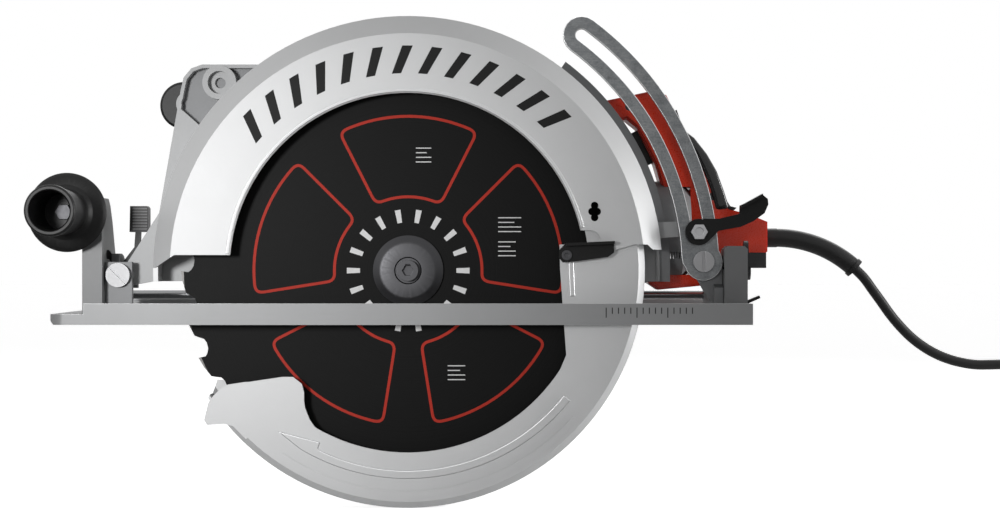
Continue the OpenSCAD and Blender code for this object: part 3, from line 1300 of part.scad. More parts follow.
// A turn of the coil: the radius runs in and out again, and climbs a layer where it reverses
function coil_radius(t) = coil_outer - coil_pitch * (2 - abs(2 - (t % 4)));
function coil_climb(t) =
    coil_pitch * (min(1, max(0, (t - 1.75) * 2)) + min(1, max(0, (t - 3.75) * 2))
                  + min(1, max(0, (t - 5.75) * 2))) + plug_lift * min(1, max(0, (t - 7.75) / 0.7));
function coil_point(t) =
    [coil_x + coil_radius(t) * sin(360 * t), coil_y - coil_radius(t) * cos(360 * t), coil_z + coil_climb(t)];
coil_path = concat(
    [[coil_x - 10, cord_y, coil_z], [coil_x - 4, cord_y, coil_z]],
    [for (i = [0:loop_rings * coil_turns]) coil_point(i / loop_rings)]
);
coil_end = coil_path[len(coil_path) - 1];
coil_tail = concat(coil_path, [coil_end + [-5, 0, 0], coil_end + [-10, 0, 0]]);
coil_gap = min([for (i = [0:2:len(coil_tail) - 1], j = [i + 14:1:len(coil_tail) - 1])
    norm(coil_tail[i] - coil_tail[j])]) - cord_d;
echo(coil_gap = coil_gap);

module cord_coil() color([0.06, 0.06, 0.06]) tube(coil_tail, cord_r, 6, [0, 0, 1]);

module cord_tie() color([0.5, 0.5, 0.5]) {
    low = coil_outer - 2 * coil_pitch - cord_r - 1;
    high = coil_outer + cord_r + 1;
    top = coil_z + 3 * coil_pitch + cord_r + 0.6;
    translate([coil_x, coil_y, floor_z + 0.1]) rotate([0, 0, 160]) translate([low - tie_t, -5, 0])
        difference() {
            cube([high - low + 2 * tie_t, 10, top - floor_z + tie_t]);
            translate([tie_t, -1, tie_t]) cube([high - low, 12, top - floor_z - tie_t]);
        }
}

plug_p = coil_end + [-10, 0, 0];

module plug() color([0.06, 0.06, 0.06]) translate(plug_p) rotate([0, -90, 0]) {
    rotate_extrude() polygon([
        [0, 0.05], [6, 0.05], [7, 1], [7.5, 10], [11, 16], [12, 20], [12, 32], [11, 34],
        [12, 36], [12, 46], [11, 48], [0, 48]
    ]);
    for (s = [-1, 1])
        translate([-3.2, s * 6.35 - 0.75, 47]) cube([6.4, 1.5, 18.5]);
    translate([8, 0, 47]) cylinder(h = 19.5, r = 2.35);
}

foot_plate();
front_upright();
rear_upright();
upright_screws();
front_grip();
front_grip_bolt();
rip_clamp_lever();
front_tilt_bracket();
rear_tilt_bracket();
tie_rod();
tilt_pins();
bevel_clamp_bolts();
depth_pivot_screw();
arm_pin_screw();
front_bevel_lever();
rear_bevel_lever();
depth_arm();
upper_guard();
gear_case();
gear_case_cover();
gear_case_screws();
motor_housing();
motor_end_cap();
handle_left();
handle_right();
grip_overmould();
handle_screws();
switch_body();
top_grip();
top_grip_bolt();
spindle_bearings();
armature_bearings();
field_core();
brush_caps();
oil_plug();
depth_bolt();
guard_retainer();
guard_spring();
strain_relief();
depth_lever();
trigger();
spindle_lock();
lower_guard();
lift_lever();
lift_lever_screw();
spindle();
worm_wheel();
inner_flange();
blade();
outer_flange();
blade_bolt();
armature_shaft();
armature_core();
commutator();
cooling_fan();
cord();
cord_coil();
cord_tie();
plug();
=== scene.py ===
"""Worm drive circular saw: finishes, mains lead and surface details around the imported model."""

import json
import math

import bpy
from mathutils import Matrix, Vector


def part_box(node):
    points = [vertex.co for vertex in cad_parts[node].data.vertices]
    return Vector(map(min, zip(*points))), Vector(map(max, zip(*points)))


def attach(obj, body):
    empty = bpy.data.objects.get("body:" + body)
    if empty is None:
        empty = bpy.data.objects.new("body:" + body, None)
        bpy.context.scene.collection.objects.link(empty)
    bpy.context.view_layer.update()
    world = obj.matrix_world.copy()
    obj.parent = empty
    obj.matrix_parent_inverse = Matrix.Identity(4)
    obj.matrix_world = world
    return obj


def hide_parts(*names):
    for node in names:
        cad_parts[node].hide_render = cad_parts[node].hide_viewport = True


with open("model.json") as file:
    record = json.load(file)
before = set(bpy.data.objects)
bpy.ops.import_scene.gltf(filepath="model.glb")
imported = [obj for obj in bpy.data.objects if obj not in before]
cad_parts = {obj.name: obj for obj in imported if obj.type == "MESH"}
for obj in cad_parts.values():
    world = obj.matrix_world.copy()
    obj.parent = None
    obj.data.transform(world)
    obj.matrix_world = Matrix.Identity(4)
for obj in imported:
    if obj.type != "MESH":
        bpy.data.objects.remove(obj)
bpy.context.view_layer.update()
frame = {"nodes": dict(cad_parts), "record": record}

MM = 0.001
BODY_OF = {n: body for body, nodes in frame["record"]["behaviour"]["bodies"].items() for n in nodes}
SLOT_OF = {part["node"]: part["material_slot"] for part in frame["record"]["subparts"]}

# Places on the saw, in metres: the blade's plane, the arbor, and the guard faces
BLADE_Y = -0.082
ARBOR = Vector((0.0, BLADE_Y, 0.0484))
BLADE_R = 0.20715
UPPER_FACE_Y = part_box("upper_guard")[0].y
LOWER_FACE_Y = BLADE_Y - 0.019
BLADE_FACE_Y = BLADE_Y - 0.0012
RAIL_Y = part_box("foot_plate")[0].y
FLOOR_Z = -0.1666


# Camera: 2 m from the blade, level and square to it
CAMERA_PLACE = (0.0837, -2.082, 0.0562)
CAMERA_LENS = 78.9
CAMERA_FILM = 36


def make_camera():
    bpy.ops.object.camera_add(location=CAMERA_PLACE, rotation=(math.radians(90), 0, 0))
    camera = bpy.context.object
    camera.data.sensor_width = CAMERA_FILM
    camera.data.lens = CAMERA_LENS
    bpy.context.scene.camera = camera


# Sockets that are reached by number: object coordinates, an axis, and the colours of a mix
OBJECT_PLACE = 3
AXIS_Z = 2
MIX_FACTOR = 0
MIX_FIRST = 6
MIX_SECOND = 7
MIX_RESULT = 2


# Shader maths
class Signal:
    """A socket of a finish, with the arithmetic that its expressions need."""

    def __init__(self, finish, socket):
        self.finish = finish
        self.socket = socket

    def maths(self, operation, *values):
        return self.finish.node("ShaderNodeMath", {"operation": operation}, *values)

    def __add__(self, other):
        return self.maths("ADD", self, other)

    def __sub__(self, other):
        return self.maths("SUBTRACT", self, other)

    def __rsub__(self, other):
        return self.maths("SUBTRACT", other, self)

    def __mul__(self, other):
        return self.maths("MULTIPLY", self, other)

    def __gt__(self, other):
        return self.maths("GREATER_THAN", self, other)

    def root(self):
        return self.maths("SQRT", self)

    __radd__ = __add__
    __rmul__ = __mul__


class Finish:
    """A material, its node tree and the few nodes that most finishes share."""

    def __init__(self, name, roughness=0.5, metallic=0.0, coat=0.0, gloss=0.5, colour=(0.5, 0.5, 0.5)):
        self.material = bpy.data.materials.new(name)
        self.material.use_nodes = True
        self.tree = self.material.node_tree
        self.shader = self.tree.nodes["Principled BSDF"]
        self.set(Roughness=roughness, Metallic=metallic)
        self.shader.inputs["Base Color"].default_value = (*colour, 1)
        self.shader.inputs["Coat Weight"].default_value = coat
        self.shader.inputs["Specular IOR Level"].default_value = gloss
        self.shader.inputs["Coat Roughness"].default_value = 0.15

    def feed(self, socket, value):
        if isinstance(value, Signal):
            self.tree.links.new(value.socket, socket)
        elif isinstance(value, tuple) and socket.type == "RGBA":
            socket.default_value = (*value, 1)
        else:
            socket.default_value = value

    def node(self, kind, settings=None, *values, out=0, **named):
        made = self.tree.nodes.new(kind)
        for name, value in (settings or {}).items():
            if name == "stops":
                self.set_stops(made.color_ramp, value)
            else:
                setattr(made, name, value)
        for place, value in enumerate(values):
            self.feed(made.inputs[place], value)
        for name, value in named.items():
            self.feed(made.inputs[name.replace("_", " ")], value)
        return Signal(self, made.outputs[out])

    def set_stops(self, ramp, stops):
        while len(ramp.elements) < len(stops):
            ramp.elements.new(0.5)
        for element, (place, level) in zip(ramp.elements, stops):
            element.position = place
            element.color = (level, level, level, 1)

    def set(self, **values):
        for name, value in values.items():
            self.feed(self.shader.inputs[name.replace("_", " ")], value)

    def place(self):
        return self.node("ShaderNodeTexCoord", out=OBJECT_PLACE)

    def noise(self, scale, detail=3, roughness=0.5, stretch=None):
        place = self.place()
        if stretch:
            place = self.node("ShaderNodeMapping", {"vector_type": "POINT"}, Vector=place, Scale=stretch)
        return self.node("ShaderNodeTexNoise", None, Vector=place, Scale=scale, Detail=detail,
                         Roughness=roughness)

    def ramp(self, value, *stops):
        return self.node("ShaderNodeValToRGB", {"stops": stops}, value)

    def blend(self, factor, first, second):
        mixed = self.tree.nodes.new("ShaderNodeMix")
        mixed.data_type = "RGBA"
        self.feed(mixed.inputs[MIX_FACTOR], factor)
        self.feed(mixed.inputs[MIX_FIRST], first)
        self.feed(mixed.inputs[MIX_SECOND], second)
        return Signal(self, mixed.outputs[MIX_RESULT])

    def bump(self, height, strength, depth):
        self.set(Normal=self.node("ShaderNodeBump", None, Strength=strength, Distance=depth, Height=height))


def shade(colour, share):
    return tuple(min(1.0, c * share) for c in colour)


def cast_metal(name, colour, roughness, mottle=0.06, metallic=0.22):
    """Cast magnesium or aluminium: a fine grain, slightly cloudy."""
    finish = Finish(name, metallic=metallic, gloss=0.35)
    cloud = finish.noise(14, detail=5, roughness=0.6)
    fine = finish.noise(650, detail=4, roughness=0.65)
    finish.set(Base_Color=finish.blend(cloud, shade(colour, 1 - mottle), shade(colour, 1 + mottle)),
               Roughness=roughness - 0.06 + cloud * 0.08 + fine * 0.06)
    finish.bump(fine, 0.35, 0.00012)
    return finish.material


def raw_steel(name, dark, light):
    """Hot rolled steel plate: blotches, pits and fine scratches along X."""
    finish = Finish(name, metallic=0.9)
    blotch = finish.noise(90, detail=10, roughness=0.78)
    pits = finish.noise(700, detail=5, roughness=0.8)
    scratch = finish.noise(90, detail=5, roughness=0.7, stretch=(1, 12, 9))
    wear = finish.ramp(blotch * 0.45 + pits * 0.4 + scratch * 0.22, (0.36, 0.0), (0.72, 1.0))
    finish.set(Base_Color=finish.blend(wear, dark, light), Roughness=0.58 - wear * 0.2)
    finish.bump(pits + scratch * 0.5, 0.4, 0.00012)
    return finish.material


def bright_metal(name, colour, roughness):
    """Turned or plated steel with faint tool marks."""
    finish = Finish(name, metallic=1.0)
    marks = finish.noise(500, detail=3)
    smudge = finish.noise(40, detail=4)
    finish.set(Base_Color=finish.blend(smudge, shade(colour, 0.9), colour),
               Roughness=roughness + marks * 0.1 + smudge * 0.06)
    finish.bump(marks, 0.15, 0.00005)
    return finish.material


def moulded(name, colour, roughness, coat=0.0, grain=1400, depth=0.00006, gloss=0.3):
    """Injection moulded plastic with a fine spark texture."""
    finish = Finish(name, coat=coat, gloss=gloss)
    fine = finish.noise(grain, detail=2)
    cloud = finish.noise(25, detail=3)
    finish.set(Base_Color=finish.blend(cloud, shade(colour, 0.95), shade(colour, 1.05)),
               Roughness=roughness - 0.04 + fine * 0.08)
    finish.bump(fine, 0.3, depth)
    return finish.material


def rubber(name, colour, roughness, grain=900):
    """Soft rubber: matt, with dust in its grain."""
    finish = Finish(name, gloss=0.25)
    fine = finish.noise(grain, detail=4, roughness=0.7)
    dust = finish.ramp(finish.noise(60, detail=6, roughness=0.7), (0.5, 0.0), (0.8, 1.0))
    finish.set(Base_Color=finish.blend(dust * 0.5, colour, shade(colour, 1.7)),
               Roughness=roughness + fine * 0.12)
    finish.bump(fine, 0.35, 0.0001)
    return finish.material


def coated(name, colour):
    """Powder coat: an even, slightly orange-peeled black."""
    finish = Finish(name, coat=0.02, gloss=0.15)
    peel = finish.noise(520, detail=2)
    finish.set(Base_Color=finish.blend(peel, shade(colour, 0.8), shade(colour, 1.3)),
               Roughness=0.38 + peel * 0.08)
    finish.bump(peel, 0.3, 0.00008)
    return finish.material


TIP_DEPTH = 0.0025


def blade_steel():
    """Black low-friction coat with faint rings, worn to bare carbide at the tips."""
    finish = Finish("blade coat", gloss=0.06)
    x = finish.node("ShaderNodeSeparateXYZ", None, finish.place())
    z = Signal(finish, x.socket.node.outputs[AXIS_Z]) - ARBOR.z
    radius = (x * x + z * z).root()
    rings = finish.node("ShaderNodeTexNoise", {"noise_dimensions": "1D"}, W=radius * 900.0, Scale=1.0,
                        Detail=2.0)
    grain = finish.noise(300, detail=3)
    tips = radius > BLADE_R - TIP_DEPTH
    black = finish.blend(rings, (0.004, 0.004, 0.004), (0.009, 0.009, 0.009))
    finish.set(Base_Color=finish.blend(tips, black, (0.1, 0.098, 0.096)),
               Roughness=0.36 + rings * 0.1 + grain * 0.06, Metallic=tips * 0.9)
    finish.bump(rings + grain * 0.4, 0.12, 0.00005)
    return finish.material


def ink(name, colour):
    """Printed ink, a little uneven."""
    finish = Finish(name, gloss=0.12)
    patch = finish.noise(120, detail=5, roughness=0.7)
    finish.set(Base_Color=finish.blend(patch, shade(colour, 0.82), shade(colour, 1.08)),
               Roughness=0.45 + patch * 0.1)
    return finish.material


FINISHES = {
    "guard_casting": cast_metal("guard casting", (0.62, 0.624, 0.628), roughness=0.42, metallic=0.12),
    "foot_casting": cast_metal("foot casting", (0.27, 0.273, 0.276), roughness=0.44),
    "grey_casting": cast_metal("bracket casting", (0.17, 0.173, 0.177), roughness=0.45, mottle=0.14),
    "case_casting": cast_metal("gear case casting", (0.36, 0.364, 0.368), roughness=0.46, mottle=0.1),
    "dark_housing": moulded("dark housing", (0.19, 0.193, 0.197), roughness=0.5),
    "red_plastic": moulded("red moulding", (0.58, 0.03, 0.008), roughness=0.28, coat=0.12, grain=900,
                           depth=0.00003, gloss=0.35),
    "black_rubber": rubber("grip rubber", (0.008, 0.008, 0.008), roughness=0.36),
    "black_lever": coated("lever coat", (0.006, 0.006, 0.006)),
    "black_plastic": moulded("black moulding", (0.012, 0.012, 0.012), roughness=0.38),
    "raw_steel": raw_steel("depth arm steel", (0.07, 0.075, 0.08), (0.26, 0.268, 0.272)),
    "bright_steel": bright_metal("plated steel", (0.4, 0.4, 0.41), roughness=0.32),
    "dark_steel": bright_metal("dark steel", (0.055, 0.055, 0.058), roughness=0.34),
    "blade_coating": blade_steel(),
    "bronze": bright_metal("bronze", (0.6, 0.4, 0.16), roughness=0.3),
    "copper": bright_metal("copper", (0.7, 0.36, 0.2), roughness=0.3),
    "lamination": raw_steel("laminations", (0.16, 0.16, 0.17), (0.3, 0.3, 0.31)),
    "cord_rubber": rubber("lead rubber", (0.009, 0.009, 0.009), roughness=0.34, grain=700),
    "tie_plastic": moulded("tie", (0.05, 0.05, 0.05), roughness=0.45),
}
# Bright bare metal for broken edges: partly real wear, partly a painted highlight on the chamfers
WORN_EDGE_AND_HIGHLIGHT = bright_metal("worn edge and painted highlight", (0.62, 0.625, 0.63), roughness=0.3)
ROD_STEEL = bright_metal("rod steel", (0.3, 0.305, 0.31), roughness=0.16)
# Painted shade: a darker copy of the guard casting for the faces set back behind the guard
SET_BACK_PAINTED_SHADE = cast_metal("set back casting painted shade", (0.3, 0.303, 0.306), roughness=0.46)
# Painted highlight: a grey laid on the near-facing tops of the front bevel lever's ribs
RIB_PAINTED_HIGHLIGHT = coated("rib painted highlight", (0.16, 0.16, 0.162))
PIN_STEEL = bright_metal("pin steel", (0.27, 0.27, 0.275), roughness=0.42)
UPRIGHT_CASTING = cast_metal("upright casting", (0.155, 0.157, 0.159), roughness=0.44)
LEVER_GREY = coated("bevel lever coat", (0.035, 0.035, 0.036))
GLOSSY_BLACK = moulded("grip pad", (0.01, 0.01, 0.01), roughness=0.16, coat=0.2, grain=900)
WHITE_INK = ink("white ink", (0.82, 0.82, 0.82))
RED_INK = ink("red ink", (0.5, 0.035, 0.02))
BLACK_INK = ink("black ink", (0.012, 0.012, 0.012))


# Shaping. A finished piece has its edges' finish in its second slot, on some pieces worn metal with a
# painted highlight, and on some pieces painted shade or a painted highlight in its third
EDGE_SLOT = 1
PAINTED_LIGHT_SLOT = 2
EDGE_ANGLE = 32
EVEN_WEIGHT = 80
NODE_SMOOTH = 38
PLATE_SMOOTH = 40
MERGE_GAP = 0.000005
FLAT_ANGLE = 0.4


def alone(thing):
    bpy.ops.object.select_all(action="DESELECT")
    thing.select_set(True)
    bpy.context.view_layer.objects.active = thing


def apply_all(thing):
    alone(thing)
    for modifier in list(thing.modifiers):
        bpy.ops.object.modifier_apply(modifier=modifier.name)


def broken_edges(thing, width, segments=2):
    """Rounds off all but the shallow edges."""
    bevel = thing.modifiers.new("edges", "BEVEL")
    bevel.width = width
    bevel.segments = segments
    bevel.limit_method = "ANGLE"
    bevel.angle_limit = math.radians(EDGE_ANGLE)
    bevel.miter_outer = "MITER_ARC"
    bevel.material = EDGE_SLOT
    bevel.use_clamp_overlap = True
    apply_all(thing)


def keep(thing, name, body, material=None):
    """Names a finished piece, gives it its finish and lets it ride."""
    thing.name = name
    if material:
        thing.data.materials.clear()
        thing.data.materials.append(material)
    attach(thing, body)
    return thing


def softened(node, width, edge=None):
    """A node's own shape with its edges broken, standing for that node."""
    thing = bpy.data.objects.new(node + "_finished", frame["nodes"][node].data.copy())
    bpy.context.scene.collection.objects.link(thing)
    alone(thing)
    if thing.data.has_custom_normals:
        bpy.ops.mesh.customdata_custom_splitnormals_clear()
    bpy.ops.object.mode_set(mode="EDIT")
    bpy.ops.mesh.select_all(action="SELECT")
    bpy.ops.mesh.remove_doubles(threshold=MERGE_GAP)
    if width:
        bpy.ops.mesh.dissolve_limited(angle_limit=math.radians(FLAT_ANGLE))
    bpy.ops.object.mode_set(mode="OBJECT")
    thing.data.materials.clear()
    thing.data.materials.append(FINISHES[SLOT_OF[node]])
    thing.data.materials.append(edge or FINISHES[SLOT_OF[node]])
    if width:
        broken_edges(thing, width)
    for points, y, depth in CUTS.get(node, []):
        cut_away(thing, points, y, depth)
    even_shading(thing, NODE_SMOOTH)
    keep(thing, node + "_finished", BODY_OF[node])
    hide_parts(node)
    return thing


def even_shading(thing, smooth):
    """Smooth over shallow edges, with the large faces kept flat."""
    alone(thing)
    bpy.ops.object.shade_smooth_by_angle(angle=math.radians(smooth))
    evened = thing.modifiers.new("even shading", "WEIGHTED_NORMAL")
    evened.keep_sharp = True
    evened.weight = EVEN_WEIGHT
    apply_all(thing)


def cut_away(thing, points, y, depth):
    """Takes what lies within that outline off a piece."""
    cutter = plate_of(flat(points), y, depth)
    cutter.data.materials.append(thing.data.materials[0])
    cut = thing.modifiers.new("cut", "BOOLEAN")
    cut.operation = "DIFFERENCE"
    cut.solver = "EXACT"
    cut.object = cutter
    apply_all(thing)
    bpy.data.objects.remove(cutter)


def around(radius, degrees):
    """A point on a circle about the arbor, seen from the side; the radius is in metres."""
    a = math.radians(degrees)
    return Vector((ARBOR.x + radius * math.cos(a), 0, ARBOR.z + radius * math.sin(a)))


def arc(radius, start, end, steps):
    """Points along such a circle; the radius is in millimetres."""
    return [around(radius * MM, start + (end - start) * i / steps) for i in range(steps + 1)]


def flat(points):
    """Points seen from the side, from pairs in millimetres."""
    return [Vector((x * MM, 0, z * MM)) for x, z in points]


def oblong(x, z, width, height):
    return [Vector((x, 0, z)), Vector((x + width, 0, z)), Vector((x + width, 0, z + height)),
            Vector((x, 0, z + height))]


def spoke(inner, outer, middle, half, slant=0):
    """Corners of a short bar that points away from the arbor."""
    return [around(inner, middle - half + slant), around(outer, middle - half - slant),
            around(outer, middle + half - slant), around(inner, middle + half + slant)]


def plate_of(points, y, thickness, border=None):
    """A thin plate with that outline, standing out towards the near side, or only its border."""
    bpy.ops.object.select_all(action="DESELECT")
    bpy.ops.mesh.primitive_circle_add(vertices=len(points), fill_type="NGON")
    thing = bpy.context.object
    for vertex, point in zip(thing.data.vertices, points):
        vertex.co = (point.x, y, point.z)
    bpy.ops.object.mode_set(mode="EDIT")
    bpy.ops.mesh.select_all(action="SELECT")
    if border:
        bpy.ops.mesh.inset(thickness=border)
        bpy.ops.mesh.delete(type="FACE")
        bpy.ops.mesh.select_all(action="SELECT")
    bpy.ops.mesh.extrude_region_move(TRANSFORM_OT_translate={"value": (0, -thickness, 0)})
    bpy.ops.mesh.select_all(action="SELECT")
    bpy.ops.mesh.normals_make_consistent(inside=False)
    bpy.ops.object.mode_set(mode="OBJECT")
    return thing


def raised(name, on, points, y, thickness, edge, material=None, edge_material=None, rounds=3):
    """A plate with soft edges, part of the casting that it stands on."""
    thing = plate_of(points, y, thickness)
    thing.data.materials.append(material or FINISHES[SLOT_OF[on]])
    thing.data.materials.append(edge_material or thing.data.materials[0])
    broken_edges(thing, edge, segments=rounds)
    even_shading(thing, PLATE_SMOOTH)
    return keep(thing, name, BODY_OF[on])


def joined(things):
    bpy.ops.object.select_all(action="DESELECT")
    for thing in things:
        thing.select_set(True)
    bpy.context.view_layer.objects.active = things[0]
    bpy.ops.object.join()
    return things[0]


# Mains lead: the free stretch, the coil behind the view and its plug, one length of cable.
# Its route is given in millimetres, as distances along the saw and heights
CORD_D = 0.0095
CORD_Y = -6
RELIEF_END = (420.0, 49.6)
ROUTE = [
    RELIEF_END, (422.2, 47.5), (428.5, 41), (436.5, 30), (444.5, 19), (453, 7), (463, -5), (473, -15),
    (484, -23.5), (495, -30), (508, -35.5), (521, -39), (535, -41), (548, -41), (562, -41), (577, -44),
    (591, -51), (604, -62), (616, -76), (627, -92), (638, -109), (649, -125), (661, -139), (675, -150),
    (690, -157), (704, -160), (714, -160), (720, -160),
]
COIL_X = 724
COIL_Y = 54
COIL_Z = -160
COIL_OUTER = 60
COIL_PITCH = 10.4
COIL_TURNS = 8.5
COIL_STEPS = 24
RINGS_A_LAYER = 2
LAYER_STARTS = (1.75, 3.75, 5.75)
LAYER_CLIMB = 0.5
PLUG_LIFT = 17.4
PLUG_START = 7.75
PLUG_CLIMB = 0.7
PLUG_RUN = 5


def share_done(turn, start, length):
    return min(1, max(0, (turn - start) / length))


def coil_point(turn):
    """A point on the coil, whose turns go in and out again and climb a layer each time."""
    radius = COIL_OUTER - COIL_PITCH * (RINGS_A_LAYER - abs(RINGS_A_LAYER - turn % (2 * RINGS_A_LAYER)))
    climb = sum(share_done(turn, start, LAYER_CLIMB) for start in LAYER_STARTS) * COIL_PITCH
    climb += PLUG_LIFT * share_done(turn, PLUG_START, PLUG_CLIMB)
    a = 2 * math.pi * turn
    return (COIL_X + radius * math.sin(a), COIL_Y - radius * math.cos(a), COIL_Z + climb)


def make_lead():
    points = [(x, CORD_Y, z) for x, z in ROUTE]
    points += [coil_point(i / COIL_STEPS) for i in range(int(COIL_STEPS * COIL_TURNS) + 1)]
    x, y, z = points[-1]
    points += [(x - PLUG_RUN, y, z), (x - 2 * PLUG_RUN, y, z)]
    line = bpy.data.curves.new("mains_lead", "CURVE")
    line.dimensions = "3D"
    spline = line.splines.new("BEZIER")
    spline.bezier_points.add(len(points) - 1)
    for knot, point in zip(spline.bezier_points, points):
        knot.co = [v * MM for v in point]
        knot.handle_left_type = knot.handle_right_type = "AUTO"
    line.resolution_u = 4
    line.bevel_depth = CORD_D / 2
    line.bevel_resolution = 5
    line.use_fill_caps = True
    lead = bpy.data.objects.new("mains_lead", line)
    bpy.context.scene.collection.objects.link(lead)
    bpy.context.view_layer.update()
    line.materials.append(FINISHES["cord_rubber"])
    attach(lead, BODY_OF["cord"])
    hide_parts("cord", "cord_coil")
    [v * MM for v in points[0]]


# Edge widths in millimetres; 0 leaves the edges as they are and only evens the shading
EDGES = {
    "upper_guard": 0.9, "lower_guard": 0.9, "foot_plate": 0.8, "front_upright": 1.0, "rear_upright": 1.0,
    "front_grip": 0.5, "front_grip_bolt": 0.4, "rip_clamp_lever": 0.5, "front_tilt_bracket": 0.5,
    "rear_tilt_bracket": 0.5, "tie_rod": 0.5, "tilt_pins": 0.3, "bevel_clamp_bolts": 0.4,
    "depth_pivot_screw": 0.5, "arm_pin_screw": 0.5, "front_bevel_lever": 0, "rear_bevel_lever": 0,
    "depth_arm": 0.6, "gear_case": 1.0, "gear_case_cover": 0.8, "gear_case_screws": 0.2,
    "motor_housing": 0.5, "motor_end_cap": 0.4, "handle_left": 0, "handle_right": 0,
    "grip_overmould": 0, "handle_screws": 0.2, "top_grip": 0.6, "top_grip_bolt": 0.3, "brush_caps": 0.3,
    "oil_plug": 0.3, "depth_bolt": 0.3, "strain_relief": 0.5, "depth_lever": 0.6, "trigger": 0.7,
    "spindle_lock": 0.5, "lift_lever": 0.4, "lift_lever_screw": 0.3, "inner_flange": 0.4,
    "outer_flange": 0, "blade_bolt": 0.3, "plug": 0.4, "cord_tie": 0.3, "upright_screws": 0.2,
}


# Corners that come off, as an outline in millimetres with its far side and depth in metres: the top
# of the shroud, and the guard's corner above the nose
SHROUD_TOP = [(60, 250), (60, 300), (150, 300), (146, 244), (141, 236.5), (136, 232)]
GUARD_CORNER = [(-240, -40), (-176.6, -40), (-176.6, -52.9), (-184.5, -78), (-185, -92), (-240, -92)]
NOSE = [
    (-144, -45), (-144.1, -51.9), (-162.2, -54.6), (-168.6, -58.3), (-173.9, -63.1), (-177.6, -67.2),
    (-180.4, -71.2), (-182.8, -78), (-184.2, -84), (-230, -84), (-230, -45),
]
CUTS = {
    "motor_housing": [(SHROUD_TOP, -0.046, 0.02)],
    "lower_guard": [(GUARD_CORNER, -0.05, 0.06), (NOSE, -0.093, 0.02)],
}
# Pieces whose broken edges get worn metal with a painted highlight
WORN_AND_HIGHLIT = {"depth_arm": WORN_EDGE_AND_HIGHLIGHT, "upper_guard": WORN_EDGE_AND_HIGHLIGHT, "foot_plate": WORN_EDGE_AND_HIGHLIGHT}
OWN_FINISH = {
    "tilt_pins": PIN_STEEL, "arm_pin_screw": PIN_STEEL, "depth_pivot_screw": PIN_STEEL,
    "front_grip_bolt": FINISHES["dark_steel"], "tie_rod": ROD_STEEL, "front_upright": UPRIGHT_CASTING,
    "rear_upright": UPRIGHT_CASTING, "front_bevel_lever": LEVER_GREY, "rear_bevel_lever": LEVER_GREY,
}


def set_back(face):
    return face.normal.y < -0.5 and face.center.y > BLADE_Y


PADDLE_Y = -0.0544
PADDLE_Z = 0.08


def rib_top(face):
    return face.normal.y < -0.9 and face.center.y < PADDLE_Y and face.center.z > PADDLE_Z


# Faces with painted light in the third slot: painted shade on the castings set back behind the guard, and a
# painted highlight on the tops of the paddle's ribs
PAINTED_LIGHT_FACES = {"upper_guard": (set_back, SET_BACK_PAINTED_SHADE), "front_bevel_lever": (rib_top, RIB_PAINTED_HIGHLIGHT)}


def make_nodes():
    for node, thing in frame["nodes"].items():
        if node in EDGES:
            piece = softened(node, EDGES[node] * MM, edge=WORN_AND_HIGHLIT.get(node))
            if node in OWN_FINISH:
                piece.data.materials[0] = OWN_FINISH[node]
            # Faces that get painted shade or a painted highlight
            if node in PAINTED_LIGHT_FACES:
                belongs, painted_light = PAINTED_LIGHT_FACES[node]
                piece.data.materials.append(painted_light)
                for face in piece.data.polygons:
                    if belongs(face):
                        face.material_index = PAINTED_LIGHT_SLOT
        else:
            for place in range(len(thing.data.materials)):
                thing.data.materials[place] = FINISHES[SLOT_OF[node]]


# Small forms of the castings, and a dark plate of painted shade in the guard's ear. Each plate starts a
# little way inside the casting that carries it
SUNK = 0.0005
LIP_IN = 161.3
LIP_OUT = 164.4
LIP_FROM = 13.8
LIP_TO = 174.6
LIP_STEPS = 64
LIP_T = 0.0015
LIP_EDGE = 0.0007
THROAT = [
    (-93.8, -60), (-93.8, -66.6), (-92.7, -75.1), (-90.9, -80), (-88.4, -86), (-84.5, -92), (-80, -96.4),
    (-74, -100.6), (-80, -106), (-100, -95), (-108, -80), (-100, -62),
]
THROAT_Y = {"throat_near": LOWER_FACE_Y + 0.0024, "throat_far": BLADE_Y + 0.01895}
THROAT_T = 0.00235
THROAT_EDGE = 0.0003
ARROW_IN = 180.6
ARROW_OUT = 188.2
ARROW_FROM = 321.5
ARROW_IN_TO = 243.4
ARROW_OUT_TO = 239
ARROW_HEAD = [around(0.1739, 243), around(0.1866, 231)]
ARROW_STEPS = 44
ARROW_T = 0.0019
ARROW_EDGE = 0.001
GROOVE = [(145.2, 56.6), (150.4, 56.6), (151.6, 25), (146.6, 25)]
GROOVE_T = 0.002
GROOVE_EDGE = 0.0014
# Painted shade: the pocket of the guard's ear, as a dark plate over its floor
EAR_SHADE = [(-208, 197), (-206.3, 213), (-204, 224), (-197.5, 231.5), (-188.5, 235), (-139, 235)]
EAR_RIM = arc(231.6, 127, 145.3, 10)
EAR_SHADE_Y = -0.0646
EAR_SHADE_T = 0.0006
EAR_SHADE_EDGE = 0.0001
GRIP_PAD_OUT = [(254.5, 181.5), (265.8, 172.6), (277.6, 157.5), (286.8, 141.5), (293.6, 123), (299, 106)]
GRIP_PAD_IN = [(285.8, 104.6), (283.2, 116.2), (278.6, 129.9), (272.8, 143.6), (265.6, 158), (253, 173.6)]
GRIP_PAD_Y = 0.0195
GRIP_PAD_W = 0.051
GRIP_PAD_EDGE = 0.0065


